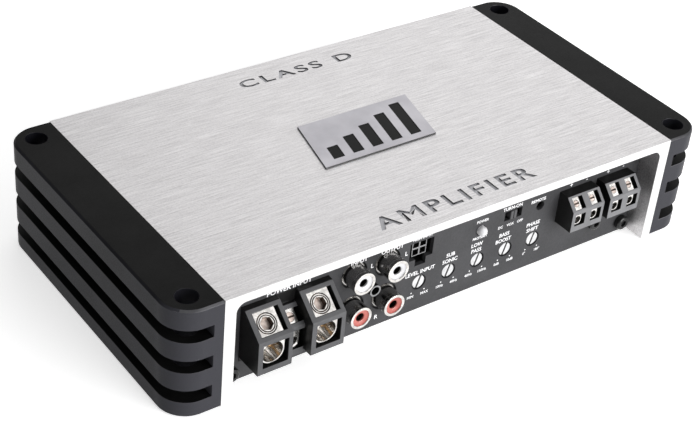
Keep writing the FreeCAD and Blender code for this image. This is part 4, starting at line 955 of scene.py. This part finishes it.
def panelLegend():
    panelY = corners("front_panel")[0].y
    tall, small = legend["tall"], legend["small"]
    shapes = []
    for name, (words, shift, least, most) in legend["trimmers"].items():
        at = middleOf(name + "_trimmer")
        for line, word in enumerate(reversed(words)):
            lift = legend["firstLine"] + line * (legend["secondLine"] - legend["firstLine"])
            shapes.append(panelWord(word, at.x + shift, at.z + lift, tall, panelY))
        for way, word in ((-1, least), (1, most)):
            x = at.x + way * legend["scaleReach"]
            shapes.append(panelWord(word, x, at.z + legend["scaleDrop"], small, panelY))
            dot = prism(12, legend["dotRadius"], 0, legend["thickness"])
            place = (at.x + way * legend["dotReach"], panelY, at.z + legend["dotDrop"])
            shapes.append(settle(dot, place, Matrix.Rotation(math.radians(90), 4, "X")))
    words = []
    for word, node, across, up, size in legend["besideNodes"]:
        words.append((word, middleOf(node).x + across, middleOf(node).z + up, size))
    for word, node, across, z, size in legend["topRow"]:
        words.append((word, middleOf(node).x + across, z, size))
    words += legend["phonoWords"]
    for screw, sign in zip(range(1, 5), "+-+-"):
        x = middleOf(f"speaker_screw_{screw}").x + legend["signShift"]
        words.append((sign, x, legend["signHeight"], legend["signs"][sign]))
    shapes += [panelWord(word, x, z, size, panelY) for word, x, z, size in words]
    addPiece("panel_legend", joined(shapes), ["legend_ink"], caseBody, (), 40.0)


# everything inside the case keeps its CAD shape

innerFinish = {
    "main_board": "circuit_board", "control_board": "circuit_board", "board_header": "black_plastic",
    "board_standoffs": "nickel", "board_screws": "black_screw", "transformer_core": "ferrite",
    "inductor_core": "ferrite", "transformer_winding": "enamelled_copper",
    "inductor_winding": "enamelled_copper", "supply_capacitors": "capacitor_sleeve",
    "rail_capacitors": "capacitor_sleeve", "power_transistors": "black_plastic",
    "insulating_pads": "silicone_pad", "transistor_clamps": "zinc_steel", "clamp_screws": "black_screw",
    "control_chips": "black_plastic", "trimmer_bodies": "black_plastic", "socket_pins": "nickel",
    "fin_block_screws": "black_screw",
}


def innerParts():
    for node, material in innerFinish.items():
        mesh = cad[node].data
        mesh.materials.clear()
        mesh.materials.append(finish[material])


def addFloor():
    shape = bmesh.new()
    bmesh.ops.create_grid(shape, x_segments=1, y_segments=1, size=studio["floorHalf"])
    mesh = bpy.data.meshes.new("floor")
    shape.to_mesh(mesh)
    shape.free()
    floor = bpy.data.objects.new("floor", mesh)
    bpy.context.scene.collection.objects.link(floor)
    tone = studio["floorTone"]
    material, tree, shader = startMaterial("floor_paint")
    shader.inputs["Base Color"].default_value = (tone, tone, tone, 1.0)
    shader.inputs["Roughness"].default_value = 0.9
    shader.inputs["Emission Color"].default_value = (1.0, 1.0, 1.0, 1.0)
    shader.inputs["Emission Strength"].default_value = studio["floorGlow"]
    mesh.materials.append(material)


addCamera()
addLamps()
addFloor()
print("studio ready")
shellCase()
print("shell cut")
easedAll()
finBlocks()
badgePlate()
panelScrews()
print("case and screws")
terminalHousings()
clampMetal()
allTerminalScrews()
print("terminals")
jackBlock()
phonoJacks()
trimmerCaps()
socketBody()
ledLens()
switchLever()
panelLegend()
innerParts()
print("controls, legend and inner parts")
